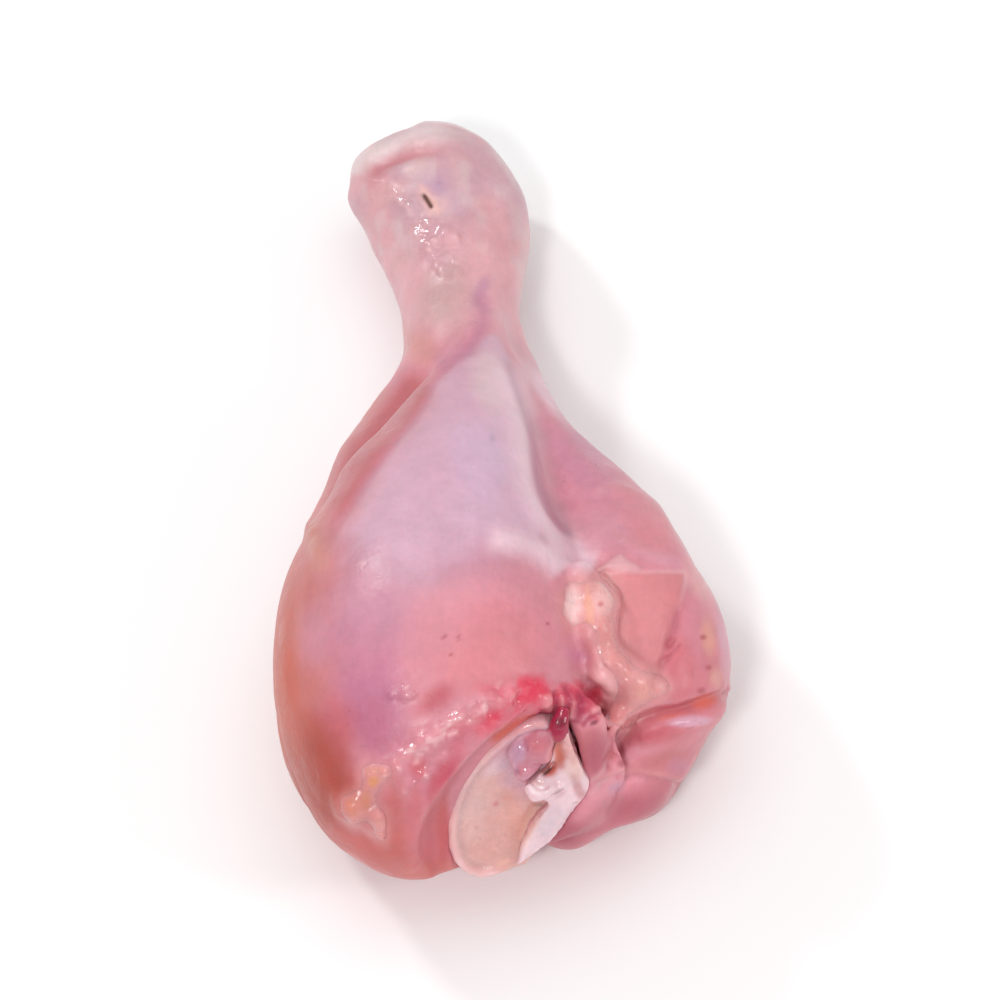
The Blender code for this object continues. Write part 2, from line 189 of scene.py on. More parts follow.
class Skin:
    """A closed mesh held as arrays, in millimetres, while it is shaped and painted."""

    def __init__(self, name, meshes, voxel=None):
        self.obj = bpy.data.objects.new(name, joined_mesh(name, meshes))
        bpy.context.scene.collection.objects.link(self.obj)
        if voxel:
            remesh = self.obj.modifiers.new("voxels", "REMESH")
            remesh.mode = "VOXEL"
            remesh.voxel_size = voxel * MM
            graph = bpy.context.evaluated_depsgraph_get()
            fine = bpy.data.meshes.new_from_object(self.obj.evaluated_get(graph))
            self.obj.modifiers.clear()
            self.obj.data = fine
            fine.name = name
        self.read()

    def read(self):
        mesh = self.obj.data
        self.p = rows_of(mesh.vertices, "co").astype(float) / MM
        pairs = np.empty(len(mesh.edges) * 2, np.int32)
        mesh.edges.foreach_get("vertices", pairs)
        self.edges = pairs.reshape(-1, 2)
        self.valence = np.bincount(pairs, minlength=len(self.p)).astype(float)
        self.tint = np.zeros((len(self.p), 3))
        self.wet = np.zeros(len(self.p))

    def average(self, values):
        """The mean of each point's neighbours."""
        a, b = self.edges[:, 0], self.edges[:, 1]
        columns = values if values.ndim == 2 else values[:, None]
        out = np.column_stack([
            np.bincount(a, columns[b, k], len(self.p)) + np.bincount(b, columns[a, k], len(self.p))
            for k in range(columns.shape[1])])
        out /= self.valence[:, None]
        return out if values.ndim == 2 else out[:, 0]

    def relax(self, rounds, keep_volume=True, share=1.0):
        share = np.reshape(share, (-1, 1))
        for _ in range(rounds):
            self.p += SMOOTH * share * (self.average(self.p) - self.p)
            if keep_volume:
                self.p -= UNSHRINK * share * (self.average(self.p) - self.p)

    def refine(self, chosen):
        """Cuts the chosen points' faces in four."""
        self.write()
        bm = bmesh.new()
        bm.from_mesh(self.obj.data)
        bm.verts.ensure_lookup_table()
        edges = [e for e in bm.edges if chosen[e.verts[0].index] and chosen[e.verts[1].index]]
        bmesh.ops.subdivide_edges(bm, edges=edges, cuts=1, use_grid_fill=True)
        bm.to_mesh(self.obj.data)
        bm.free()
        self.read()

    def write(self):
        self.obj.data.vertices.foreach_set("co", (self.p * MM).astype(np.float32).ravel())
        self.obj.data.update()

    def normals(self):
        self.write()
        return rows_of(self.obj.data.vertex_normals, "vector").astype(float)

    def look(self):
        """Notes where each point is drawn, and whether it faces the eye."""
        self.drawn = seen(self.p)
        to_eye = EYE - self.p
        to_eye /= np.linalg.norm(to_eye, axis=1)[:, None]
        self.facing = soft((self.normals() * to_eye).sum(1), -0.2, 0.1)

    def push(self, amount):
        """Moves every point along its normal."""
        self.p += self.normals() * np.asarray(amount)[:, None]

    def paint(self, colour, strength):
        strength = np.clip(strength, 0, 1)[:, None]
        self.tint = self.tint * (1 - strength) + srgb(*colour) * strength

    def wash(self, rows, cloud, mask=1.0, core=0.25):
        """Paints ovals with cloudy edges. Each row: colour, a, b, half sizes, turn, strength."""
        for colour, a, b, half_a, half_b, turn, strength in rows:
            self.paint(colour, strength * mask * self.spot(a, b, half_a, half_b, turn, core, cloud))

    def near(self, curve, reach):
        low, high = curve.min(0) - reach, curve.max(0) + reach
        return np.flatnonzero(np.all((self.drawn > low) & (self.drawn < high), axis=1) & (self.facing > 0))

    def stroke(self, *knots, reach=9.0):
        return Stroke(self, open_line(knots), reach)

    def region(self, *knots, reach=6.0):
        """How far inside a drawn outline each point is; well below 0 on the side that isn't seen."""
        ring = closed_line(knots)
        near = self.near(ring, reach)
        depth = np.full(len(self.p), -FAR)
        depth[near] = depth_inside(self.drawn[near], ring)
        return depth

    def oval(self, a, b, half_a, half_b, turn=0.0):
        """How far each point is from an oval's middle: 1 at its edge."""
        offset = self.drawn - (a, b)
        c, s = math.cos(math.radians(turn)), math.sin(math.radians(turn))
        u = offset @ (c, s)
        v = offset @ (-s, c)
        return np.where(self.facing > 0, np.hypot(u / half_a, v / half_b), FAR)

    def spot(self, a, b, half_a, half_b, turn=0.0, core=0.2, ragged=0.0):
        """1 in the middle of an oval, fading past its edge; `ragged` adds that field to its outline."""
        return (1 - soft(self.oval(a, b, half_a, half_b, turn) + ragged, core, 1.2)) * self.facing

    def finish(self, material, slot, *replaced):
        self.write()
        mesh = self.obj.data
        attribute = mesh.color_attributes.new("tint", "FLOAT_COLOR", "POINT")
        rgba = np.column_stack([np.clip(self.tint, 0, 1), np.ones(len(self.p))])
        attribute.data.foreach_set("color", rgba.astype(np.float32).ravel())
        wet = mesh.attributes.new("wet", "FLOAT", "POINT")
        wet.data.foreach_set("value", np.clip(self.wet, 0, 1).astype(np.float32))
        mesh.materials.clear()
        mesh.materials.append(material)
        mesh.shade_smooth()
        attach(self.obj, "root")
        if replaced:
            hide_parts(*replaced)

    def tree(self):
        polygons = [tuple(p.vertices) for p in self.obj.data.polygons]
        return BVHTree.FromPolygons([Vector(p) for p in self.p], polygons)


def hold_back(skin, knots, softness=0.5, chosen=True):
    """Draws in whatever bulges past the right of a drawn line, on the far side as well."""
    curve = open_line(knots)
    drawn = seen(skin.p)
    low, high = curve.min(0) - 8, curve.max(0) + 8
    near = np.flatnonzero(np.all((drawn > low) & (drawn < high), axis=1) & chosen)
    _, side, along = measure(drawn[near], curve)
    spans = np.diff(curve, axis=0)
    spans /= np.linalg.norm(spans, axis=1)[:, None]
    span = spans[np.minimum((along * len(spans)).astype(int), len(spans) - 1)]
    held = -softness * np.logaddexp(0, -side / softness)
    move = (held - side) * soft(along, 0, 0.06) * soft(1 - along, 0, 0.06)
    skin.p[near] += (span[:, 1] * move)[:, None] * RIGHT - (span[:, 0] * move)[:, None] * UP


class Stroke:
    """A drawn curve: each nearby point's distance from it, its offset to the right, how far along it."""

    def __init__(self, skin, curve, reach):
        count = len(skin.p)
        self.distance = np.full(count, FAR)
        self.side, self.along = np.zeros(count), np.zeros(count)
        self.facing = skin.facing
        near = skin.near(curve, reach)
        self.distance[near], self.side[near], self.along[near] = measure(skin.drawn[near], curve)

    def ends(self, start, end):
        body = self.facing
        if start:
            body = body * soft(self.along, 0, start)
        if end:
            body = body * soft(1 - self.along, 0, end)
        return body

    def band(self, width, start=0.0, end=0.0, offset=0.0):
        """1 on the line, or beside it at an offset, fading to 0 at `width`."""
        distance = self.distance
        if offset:
            distance = np.abs(self.side - offset) + (distance - np.abs(self.side))
        return np.exp(-(distance / width) ** 2) * self.ends(start, end) * (self.distance < FAR)

    def step(self, width, reach, start=0.15, end=0.15):
        """1 just right of the line, 0 left of it, fading away to the right over `reach`."""
        body = soft(self.side, -width / 2, width / 2) * np.exp(-(self.distance / reach) ** 2)
        return body * self.ends(start, end)


def grown(mesh, amount, squeeze=1.0):
    """A copy of a mesh, its faces joined, moved out along its normals and drawn in towards its middle."""
    bm = bmesh.new()
    bm.from_mesh(mesh)
    bmesh.ops.remove_doubles(bm, verts=bm.verts, dist=WELD * MM)
    copy = mesh_of(bm, "copy")
    points = rows_of(copy.vertices, "co") + rows_of(copy.vertex_normals, "vector") * amount * MM
    middle = points.mean(0)
    points = middle + (points - middle) * squeeze
    copy.vertices.foreach_set("co", points.astype(np.float32).ravel())
    copy.update()
    return copy


def cut_away(mesh, place, out):
    """The part of a closed mesh on the `out` side of a plane, closed again."""
    bm = bmesh.new()
    bm.from_mesh(mesh)
    geometry = bm.verts[:] + bm.edges[:] + bm.faces[:]
    bmesh.ops.bisect_plane(bm, geom=geometry, plane_co=Vector(place) * MM, plane_no=Vector(out),
                           clear_inner=True)
    bmesh.ops.holes_fill(bm, edges=[e for e in bm.edges if e.is_boundary])
    return mesh_of(bm, "part")


def tube(line, wide, high, ups):
    """A closed, tapered strand along a line: half width and half height at each point."""
    line = np.asarray(line, float)
    tangent = np.gradient(line, axis=0)
    tangent /= np.linalg.norm(tangent, axis=1)[:, None] + TINY
    side = np.cross(tangent, ups)
    side /= np.linalg.norm(side, axis=1)[:, None] + TINY
    rise = np.cross(side, tangent)
    angles = np.arange(STRAND_SIDES) * 2 * math.pi / STRAND_SIDES
    bm = bmesh.new()
    rings = []
    for centre, s, r, w, h in zip(line, side, rise, wide, high):
        points = centre + np.outer(w * np.cos(angles), s) + np.outer(h * np.sin(angles), r)
        rings.append([bm.verts.new(point * MM) for point in points])
    for ring, following in zip(rings, rings[1:]):
        for j in range(STRAND_SIDES):
            k = (j + 1) % STRAND_SIDES
            bm.faces.new((ring[j], ring[k], following[k], following[j]))
    bm.faces.new(rings[0])
    bm.faces.new(rings[-1])
    bmesh.ops.recalc_face_normals(bm, faces=bm.faces)
    return mesh_of(bm, "tube")


# ------------------------------------------------------------------ things laid on a surface

class Ground:
    """A shaped skin that strands and films are laid on, where they are drawn."""

    def __init__(self, skin):
        self.skin = skin
        self.tree = skin.tree()
        self.outs = skin.normals()
        self.corners = [tuple(p.vertices) for p in skin.obj.data.polygons]
        self.nearest = KDTree(len(skin.p))
        for k, p in enumerate(skin.p):
            self.nearest.insert(p, k)
        self.nearest.balance()

    def cast(self, a, b):
        """The place on the surface drawn at (a, b), and the surface's direction there."""
        hit, _, face, _ = self.tree.ray_cast(Vector(EYE), Vector(sight(a, b)))
        if hit is None:
            start = TARGET + RIGHT * (a - TARGET_PLACE[0]) + UP * (b - TARGET_PLACE[1])
            hit, _, face, _ = self.tree.find_nearest(Vector(start))
        return np.array(hit), self.outs[list(self.corners[face])].mean(0)

    def tint_at(self, points):
        return self.skin.tint[[self.nearest.find(p)[1] for p in points]]


class KneeFace:
    """The knee's flat face, as something to lay strands and films on."""

    def cast(self, a, b):
        line = sight(a, b)
        reach = (FACE_MIDDLE - EYE) @ FACE_OUT / (line @ FACE_OUT)
        return EYE + line * reach, FACE_OUT


def strand(ground, *knots):
    """A strand laid on a surface. Each knot: a, b, lift, half width, half height."""
    rows = open_line(knots)
    casts = [ground.cast(a, b) for a, b in rows[:, :2]]
    outs = np.array([out for _, out in casts])
    places = np.array([place for place, _ in casts]) + outs * rows[:, 2:3]
    return tube(places, np.maximum(rows[:, 3], THINNEST), np.maximum(rows[:, 4], THINNEST), outs)


def film(ground, outline, rise, sink, step=0.25):
    """A thin closed sheet inside a drawn outline. `rise` gives its height from its depth inside the
    outline and its drawn places; it goes `sink` mm below the surface."""
    ring = closed_line(outline)
    low, high = ring.min(0), ring.max(0)
    across = np.arange(low[0], high[0] + step, step)
    up = np.arange(low[1], high[1] + step, step)
    grid = np.array([(a, b) for b in up for a in across])
    depth = depth_inside(grid, ring)
    width = len(across)
    quads = []
    for row in range(len(up) - 1):
        for k in range(row * width, row * width + width - 1):
            corners = (k, k + 1, k + width + 1, k + width)
            if min(depth[c] for c in corners) > 0:
                quads.append(corners)
    used = np.unique(np.array(quads))
    index = np.full(len(grid), -1)
    index[used] = np.arange(len(used))
    quads = index[np.array(quads)]
    casts = [ground.cast(a, b) for a, b in grid[used]]
    places = np.array([place for place, _ in casts])
    outs = np.array([out for _, out in casts])
    for _ in range(6):
        places, outs = (smoothed(values, quads) for values in (places, outs))
    outs /= np.linalg.norm(outs, axis=1)[:, None]
    height = rise(depth[used], grid[used, 0], grid[used, 1])
    top = places + outs * height[:, None]
    bottom = places - outs * sink
    count = len(used)
    faces = [tuple(q) for q in quads] + [tuple(q[::-1] + count) for q in quads]
    sides = {(q[k], q[(k + 1) % 4]) for q in quads for k in range(4)}
    faces += [(end, start, start + count, end + count) for start, end in sides if (end, start) not in sides]
    mesh = bpy.data.meshes.new("film")
    mesh.from_pydata([tuple(p) for p in np.vstack([top, bottom]) * MM], [], faces)
    return mesh


def smoothed(values, quads):
    """Each point's mean over the faces it belongs to."""
    total, count = np.zeros_like(values), np.zeros(len(values))
    mean = values[quads].mean(1)
    for k in range(4):
        np.add.at(total, quads[:, k], mean)
        np.add.at(count, quads[:, k], 1)
    return total / count[:, None]


def around(skin, knots, reach):
    """1 on all sides of a line drawn on the knee's face, fading to 0. Each knot: a, b, how deep."""
    line = open_line(knots)
    tree = KDTree(len(line))
    for k, (a, b, deep) in enumerate(line):
        tree.insert(Vector(KneeFace().cast(a, b)[0] - FACE_OUT * deep), k)
    tree.balance()
    near = np.flatnonzero(skin.p[:, 1] < COLLAR_STARTS)
    distance = np.full(len(skin.p), FAR)
    distance[near] = [tree.find(p)[2] for p in skin.p[near]]
    return 1 - soft(distance, 0.5 * reach, reach)


# ------------------------------------------------------------------ materials

def flesh_material(name, fibre_depth=0.12, grain=1.0, scatter=0.25, rough=0.42, coat=0.15):
    """Moist tissue: the painted tint with mottling, fibres and fine wrinkles, wetter where it is marked."""
    material = bpy.data.materials.new(name)
    material.use_nodes = True
    nodes, links = material.node_tree.nodes, material.node_tree.links
    shader = nodes["Principled BSDF"]

    def add(kind, **settings):
        node = nodes.new("ShaderNode" + kind)
        for key, value in settings.items():
            if key in node.inputs:
                node.inputs[key].default_value = value
            else:
                setattr(node, key, value)
        return node

    def maths(operation, *values):
        node = add("Math", operation=operation)
        for socket, value in zip(node.inputs, values):
            if isinstance(value, float):
                socket.default_value = value
            else:
                links.new(value, socket)
        return node.outputs[0]

    def remap(source, new_low, new_high, low=0.3, high=0.7):
        node = add("MapRange")
        for key, value in (("From Min", low), ("From Max", high), ("To Min", new_low), ("To Max", new_high)):
            node.inputs[key].default_value = value
        links.new(source, node.inputs["Value"])
        return node.outputs[0]

    place = add("TexCoord").outputs["Object"]
    along = add("Mapping", Scale=(1.0, 0.14, 1.0))
    links.new(place, along.inputs["Vector"])

    def texture(vector, **settings):
        node = add("TexNoise", **settings)
        links.new(vector, node.inputs["Vector"])
        return node.outputs["Fac"]

    tint = add("Attribute", attribute_name="tint").outputs["Color"]
    wet = add("Attribute", attribute_name="wet").outputs["Fac"]
    mottle = texture(place, Scale=190.0, Detail=4.0, Roughness=0.6)
    fibres = texture(along.outputs[0], Scale=1500.0, Detail=2.0, Roughness=0.5)
    cells = texture(place, Scale=950.0, Detail=3.0, Roughness=0.6)
    wrinkles = texture(place, Scale=480.0, Detail=1.5, Roughness=0.4, Distortion=0.6)

    # Colour: a few per cent lighter or darker in blotches, along the fibres and in specks.
    blotch, streak, speck = remap(mottle, 0.94, 1.06), remap(fibres, 0.985, 1.015), remap(cells, 0.965, 1.035)
    colour = add("VectorMath", operation="SCALE")
    links.new(tint, colour.inputs[0])
    links.new(maths("MULTIPLY", maths("MULTIPLY", blotch, streak), speck), colour.inputs["Scale"])
    links.new(colour.outputs[0], shader.inputs["Base Color"])

    # Roughness: uneven, and lower where it is wet.
    uneven, dry = remap(cells, rough - 0.07, rough + 0.08), remap(wet, 1.0, 0.28, 0.0, 1.0)
    links.new(maths("MULTIPLY", uneven, dry), shader.inputs["Roughness"])

    # Relief: fine fibres and cells everywhere, wet wrinkles where it is marked.
    dry_relief = maths("MULTIPLY_ADD", fibres, fibre_depth, maths("MULTIPLY", cells, 0.35 * grain))
    relief = maths("MULTIPLY_ADD", maths("MULTIPLY", wrinkles, wet), 2.2, dry_relief)
    bump = add("Bump", Strength=0.35, Distance=0.0006)
    links.new(relief, bump.inputs["Height"])
    links.new(bump.outputs[0], shader.inputs["Normal"])

    for socket, value in {"Subsurface Weight": scatter, "Subsurface Radius": (1.0, 0.38, 0.28),
                          "Subsurface Scale": 0.0014, "Specular IOR Level": 0.5, "IOR": 1.5,
                          "Coat Weight": coat, "Coat Roughness": 0.3, "Coat IOR": 1.34}.items():
        shader.inputs[socket].default_value = value
    return material


FLESH = flesh_material("moist_flesh")
FAT = flesh_material("soft_fat", fibre_depth=0.08, grain=0.9, scatter=0.5, rough=0.36, coat=0.2)
GRISTLE = flesh_material("wet_gristle", fibre_depth=0.2, grain=0.6, scatter=0.3, rough=0.3, coat=0.2)

# Colours by name, as display values from 0 to 255.
ROSE = (222, 150, 163)
UNDERSIDE = (212, 128, 138)
LEFT_BASE = (206, 116, 104)
RIGHT_BASE = (208, 122, 132)
SILVERSKIN = (221, 184, 204)
MEMBRANE = (244, 216, 228)
CREAM_EDGE = (214, 152, 140)
ORANGE_BAND = (202, 118, 124)
# lilac: the hock end's own blotches, and painted shade along the neck crease and the left seam's top
LILAC_AND_CREASE_SHADE = (206, 142, 168)
# painted shade: the lilac-grey in the groove right of the calf's cord
GROOVE_SHADE = (186, 128, 152)
NECK_PINK = (229, 180, 187)
CAP = (224, 202, 203)
HOCK_END = (226, 206, 206)
CREASE_RED = (198, 122, 130)
SLIT = (98, 58, 52)
# pale rim of the hock's slit, partly a painted highlight
SLIT_RIM_AND_HIGHLIGHT = (228, 180, 172)
BLOCK = (212, 130, 134)
BLOCK_EDGE = (227, 164, 168)
BLOCK_GROOVE = (196, 98, 112)
FLAP = (215, 161, 167)
# painted shade: dark red in the fold's crease
FOLD_SHADE = (190, 80, 88)
FOLD_ORANGE = (220, 108, 92)
# pale membrane below the fold, brightened as a painted highlight
FOLD_MEMBRANE_AND_HIGHLIGHT = (215, 160, 179)
MUSCLE_LINE = (214, 138, 142)
BLOOD = (222, 62, 88)
BLOOD_DEEP = (167, 45, 76)
CLOT = (122, 30, 54)
RUST_RED = (206, 88, 66)
# painted highlight on wet ridges, partly pale torn membrane
GLINT_PINK = (244, 206, 206)
TISSUE_MAUVE = (186, 104, 120)
SHRED = (240, 166, 170)
CRIMSON_RIM = (212, 84, 104)
FAT_PINK = (217, 146, 145)
FAT_PALE = (229, 169, 170)
FAT_YELLOW = (233, 170, 146)
PLATE = (222, 171, 165)
PLATE_WARM = (224, 164, 152)
PLATE_PALE = (219, 178, 176)
# painted highlight over the plate's pale rim
PLATE_RIM_HIGHLIGHT = (238, 192, 194)
RIM_PEACH = (232, 166, 160)
BROWN_SLIT = (234, 182, 166)
# painted shade in slits and gaps
SLIT_SHADE = (88, 40, 38)
RUST = (196, 94, 70)
WHITE_GRISTLE = (232, 200, 207)
BLUE_GRISTLE = (220, 196, 206)
CREAM_GRISTLE = (236, 200, 190)
LIGAMENT_PINK = (197, 122, 138)
LIGAMENT_BLUE = (196, 156, 182)
CLOT_RED = (166, 38, 70)
# painted shade in crevices
CREVICE_SHADE = (176, 140, 148)
SPECK_RED = (176, 74, 86)
STUMP_EDGE = (214, 168, 184)
LIP_PINK = (226, 152, 160)
SWIRL_PINK = (206, 134, 142)
MAUVE_PATCH = (205, 130, 158)
BEAN_PINK = (251, 194, 196)
RIM_SHADE = (212, 152, 162)
GRISTLE_FOOT = (206, 140, 150)


# ------------------------------------------------------------------ the flesh

FORWARD, BACKWARD = (0, 1, 0), (0, -1, 0)
HOCK_STARTS, CUFF_ENDS = (0, 38, 20), (0, 57.6, 20)
HOCK_CORE = np.array((-8.2, 52, 13))
FLESH_VOXEL, BONE_VOXEL, GRISTLE_VOXEL = 0.58, 0.3, 0.16

# Soft washes of colour, laid on in this order: colour, a, b, half sizes, turn, strength.
WASHES = [
    # neck and hock
    ((230, 181, 188), 0, 30, 4.2, 14, 0, 0.85),
    ((234, 200, 202), 2.8, 26, 1.4, 9, 4, 0.9),
    ((210, 176, 176), -8, 24, 4.2, 7, -8, 0.85),
    ((222, 162, 154), -11, 17, 3.6, 2.6, -40, 0.7),
    ((209, 172, 184), -8, 38, 8, 8, 0, 0.85),
    ((200, 164, 190), -9.6, 38.4, 2.9, 1.9, -15, 0.85),
    ((217, 184, 195), -12.5, 40.2, 2.3, 1.4, 20, 0.8),
    ((224, 163, 168), -16.6, 39, 1.8, 2.2, 0, 0.85),
    ((226, 204, 208), -16.6, 43.2, 5.4, 1.7, 42, 0.9),
    ((224, 202, 205), -8, 45.2, 6.5, 1.9, -12, 0.85),
    ((212, 180, 192), -5, 39.5, 4, 3, -40, 0.6),
    ((222, 192, 202), -12.8, 33.4, 2.4, 3.6, 10, 0.6),
    ((217, 150, 164), -2.4, 35.2, 1.7, 1.3, 0, 0.6),
    ((228, 166, 172), 0.6, 31, 2.2, 4, 0, 0.5),
    # painted shade: violet at the top of the neck crease
    ((201, 150, 176), -3, 24.4, 1, 2.6, -25, 0.75),
    ((214, 170, 180), -10.2, 31, 3, 5.5, 25, 0.7),
    # belly of the calf
    ((203, 154, 174), -9, -10, 17, 9, 8, 0.85),
    ((212, 160, 182), -17, -17.5, 8, 5, 15, 0.75),
    ((212, 152, 168), -25, -21.5, 2.8, 6, 0, 0.75),
    ((228, 158, 172), -3, -17, 12, 5, 8, 0.8),
    ((230, 148, 158), 0, -20.5, 9.5, 5, 0, 0.85),
    ((228, 142, 150), -2, -25, 10, 5, 6, 0.8),
    ((201, 92, 108), -9.2, -29.6, 4.2, 2.3, 34, 0.95),
    ((206, 142, 170), -18, -22, 8, 6, 20, 0.6),
    ((200, 126, 160), -17.2, -29.5, 6, 7, -10, 0.8),
    ((196, 116, 144), -16.5, -33.5, 5, 4.5, -10, 0.8),
    ((209, 112, 122), -22.3, -33, 3.2, 5, 15, 0.8),
    ((206, 102, 82), -29.6, -28, 2.8, 12, 0, 0.95),
    ((202, 102, 86), -26.4, -36, 3.2, 7, 20, 0.95),
    ((184, 78, 66), -22, -43, 7, 5, -30, 0.95),
    ((207, 110, 106), -19, -50, 8, 3, -15, 0.85),
    ((212, 122, 112), -9, -52.5, 9, 2, 0, 0.85),
    ((178, 62, 42), -23.5, -40.5, 6, 9, 20, 0.85),
    ((208, 94, 88), -17, -49.5, 9, 4, -12, 0.85),
    ((208, 102, 94), -14.6, -46, 2.6, 8, 0, 0.7),
    ((216, 118, 126), -11.6, -46, 1.6, 7, 0, 0.8),
    ((205, 106, 114), -9.4, -46, 1.1, 6.8, 0, 0.8),
    ((204, 92, 94), -8, -46, 1, 6.8, 0, 0.85),
    ((202, 84, 106), -7.6, -39, 2, 5.4, -28, 0.9),
    ((216, 100, 112), -11.2, -38.6, 1.7, 2, 0, 0.7),
    # right lobe
    ((209, 148, 172), 10, 2, 4.4, 9.5, 38, 0.9),
    ((206, 134, 158), 8.2, -3.4, 1.6, 4.2, 28, 0.5),
    ((236, 204, 216), 5.6, 11, 1.4, 5.8, 34, 0.95),
    ((216, 158, 174), 13.5, -7.4, 5, 3.6, -20, 0.8),
    ((223, 146, 155), 20, -7.4, 3.8, 3.6, -35, 0.9),
    ((219, 160, 178), 20, -10.9, 4.6, 1, -14, 0.6),
    # the right end
    ((216, 142, 156), 24.8, -20, 2.6, 8, 8, 0.85),
    ((206, 112, 122), 23, -25, 3.2, 4.6, 0, 0.9),
    ((214, 164, 182), 29, -22, 1, 8, 5, 0.7),
    ((230, 176, 174), 25.8, -14, 1.8, 3.6, 30, 0.6),
    ((228, 166, 150), 27, -21.4, 1.3, 3.6, 5, 0.8),
    ((228, 174, 158), 28, -26.8, 1.2, 1.8, 5, 0.6),
    # below the fold
    ((200, 98, 110), 19.5, -34.4, 4.6, 2, 8, 0.9),
    ((198, 118, 122), 21, -37.6, 4.8, 1.8, 12, 0.85),
    ((203, 132, 154), 23, -38.6, 1.8, 1.5, 0, 0.7),
    ((196, 116, 123), 12, -35.8, 3.2, 3.6, 0, 0.9),
    ((184, 98, 112), 17, -44, 9, 3.6, 18, 0.95),
    ((180, 94, 110), 8.6, -47.4, 5, 2.4, 22, 0.95),
    ((192, 146, 172), 14.8, -41.2, 1.7, 1.1, 20, 0.6),
    ((180, 96, 112), 12.4, -37.6, 2.4, 4.4, 0, 0.95),
]

# The leg's lower outline as it is seen, from left of the knee round to the fold at the right.
LOW_OUTLINE = [
    (-9, -54.2), (-5, -54.1), (-3.8, -53.6), (-2, -53), (0, -52.4), (1.4, -51.8), (3, -51.3), (5, -50.9),
    (8, -50.2), (10, -49.5), (13, -47.6), (15, -46.6), (18, -45.8), (20.5, -44.8), (22.4, -43), (24, -40.2),
    (26, -36.8), (27.9, -33.4), (29.5, -30.2), (30.1, -28.9), (29.8, -27), (30, -24.9), (29.8, -21.8),
    (29.3, -19.1), (28.2, -16.5), (26.4, -13.6), (24.7, -11), (23, -7.5), (21.4, -4), (19, 0)]

# The hock's outline, from the neck's right side over the top to its left side.
HOCK_OUTLINE = [
    (2.5, 19), (2.6, 21), (2.9, 24), (3.5, 27), (3.9, 30), (3.6, 33), (2.8, 37), (1.5, 39.2), (-0.5, 42),
    (-2.5, 44.3), (-5, 45.8), (-8, 46.8), (-10.2, 47.2), (-11, 46.8), (-12.5, 45.9), (-15, 45.5),
    (-17.5, 44), (-19.5, 42), (-20.5, 39), (-20.6, 36)]

# The wet band down the hock's front, and fine ridges of torn membrane that glisten: there and over the knee.
WET_HOCK = [
    (-15, 38.2), (-13, 37.6), (-11.2, 34.4), (-8.5, 33.6), (-5.8, 32.8), (-5.2, 29), (-5.6, 26), (-8, 25.4),
    (-9.8, 27.2), (-12, 30), (-13.4, 33.5)]
GLISTENING = [
    [(-2.5, -30.4), (-3, -31.3), (-4.4, -31.8), (-6, -32.1), (-7.2, -32.7), (-8, -33.6), (-8.9, -34.6)],
    [(-5.8, -33.8), (-6.8, -34.2), (-7.6, -34.5)], [(-10, -33.9), (-9.2, -34.6), (-8.6, -35.3)],
    [(-12.2, -35.6), (-12, -36.8)], [(-9.7, -36), (-10.7, -36.4), (-11.4, -37.3), (-11.6, -38.6)],
    [(-13.8, -37.4), (-12.4, -37.3)], [(-14, -38.4), (-13.4, -39.6)], [(-10.7, -39.6), (-9.9, -39.9)],
    [(-12.2, -40.2), (-12.9, -41), (-13.3, -42.2)], [(-1.2, -30.6), (0, -30.1), (0.8, -29.9)],
    [(-15, -29.1), (-13.8, -28.2), (-12.5, -27.9)], [(-13.2, -29.2), (-12.2, -29)],
    [(-14.4, 37.4), (-13.7, 36.3), (-12.8, 35.5), (-12.1, 34), (-11.5, 33.5), (-10.4, 33.3), (-9.4, 33.2)],
    [(-8.4, 32.1), (-7.4, 32.2), (-6.6, 31.6), (-6.3, 30.9)], [(-11.2, 30.9), (-10.2, 30.3), (-9.4, 29.2)],
    [(-9.1, 28.5), (-8.3, 27.3), (-7.4, 26.6), (-6, 26.8)], [(-9.6, 31.2), (-8.8, 30.6)],
    [(-7.9, 29.2), (-7.3, 28.4)]]

# The fat's outlines: down the leg's right side, and in small lobes left of the knee.
FLANK_FAT = [
    (6.9, -16.4), (8, -13.4), (11, -12.2), (14, -12.4), (16, -15), (16.3, -18.4), (16, -20.6), (17, -23),
    (18.6, -24.6), (21, -25.6), (22.8, -27.4), (22.4, -29.4), (20.4, -30.8), (18.8, -31.8), (17.6, -33.4),
    (15.4, -34.4), (13, -33.2), (13, -30.8), (14.2, -28.6), (13.6, -26.6), (12, -25.4), (11.4, -23),
    (10.8, -21.2), (8.6, -20.8), (7, -18.8)]
BELLY_FAT = [
    (-19.2, -38.3), (-17.4, -37.4), (-14.8, -37.8), (-14, -39.4), (-15, -40.9), (-16, -42), (-16, -43.4),
    (-15, -44.5), (-14.8, -46.8), (-15.5, -49.2), (-17.3, -48.2), (-18.4, -46.6), (-20.3, -46.8),
    (-22, -44.8), (-22, -42.4), (-20.5, -41.2), (-19.4, -40.2)]

# The cut ligament's outline, on the knee's plate.
LIGAMENT = [
    (0.1, -36.8), (0.9, -34.9), (2.6, -33.8), (4.6, -33.2), (6.2, -33.4), (7, -34.8), (6.9, -36.4),
    (6.4, -37.8), (5.5, -38.6), (4.7, -39.4), (3.7, -40.4), (2.6, -41.1), (1.4, -40.3), (0.8, -38.9),
    (0.4, -37.7)]

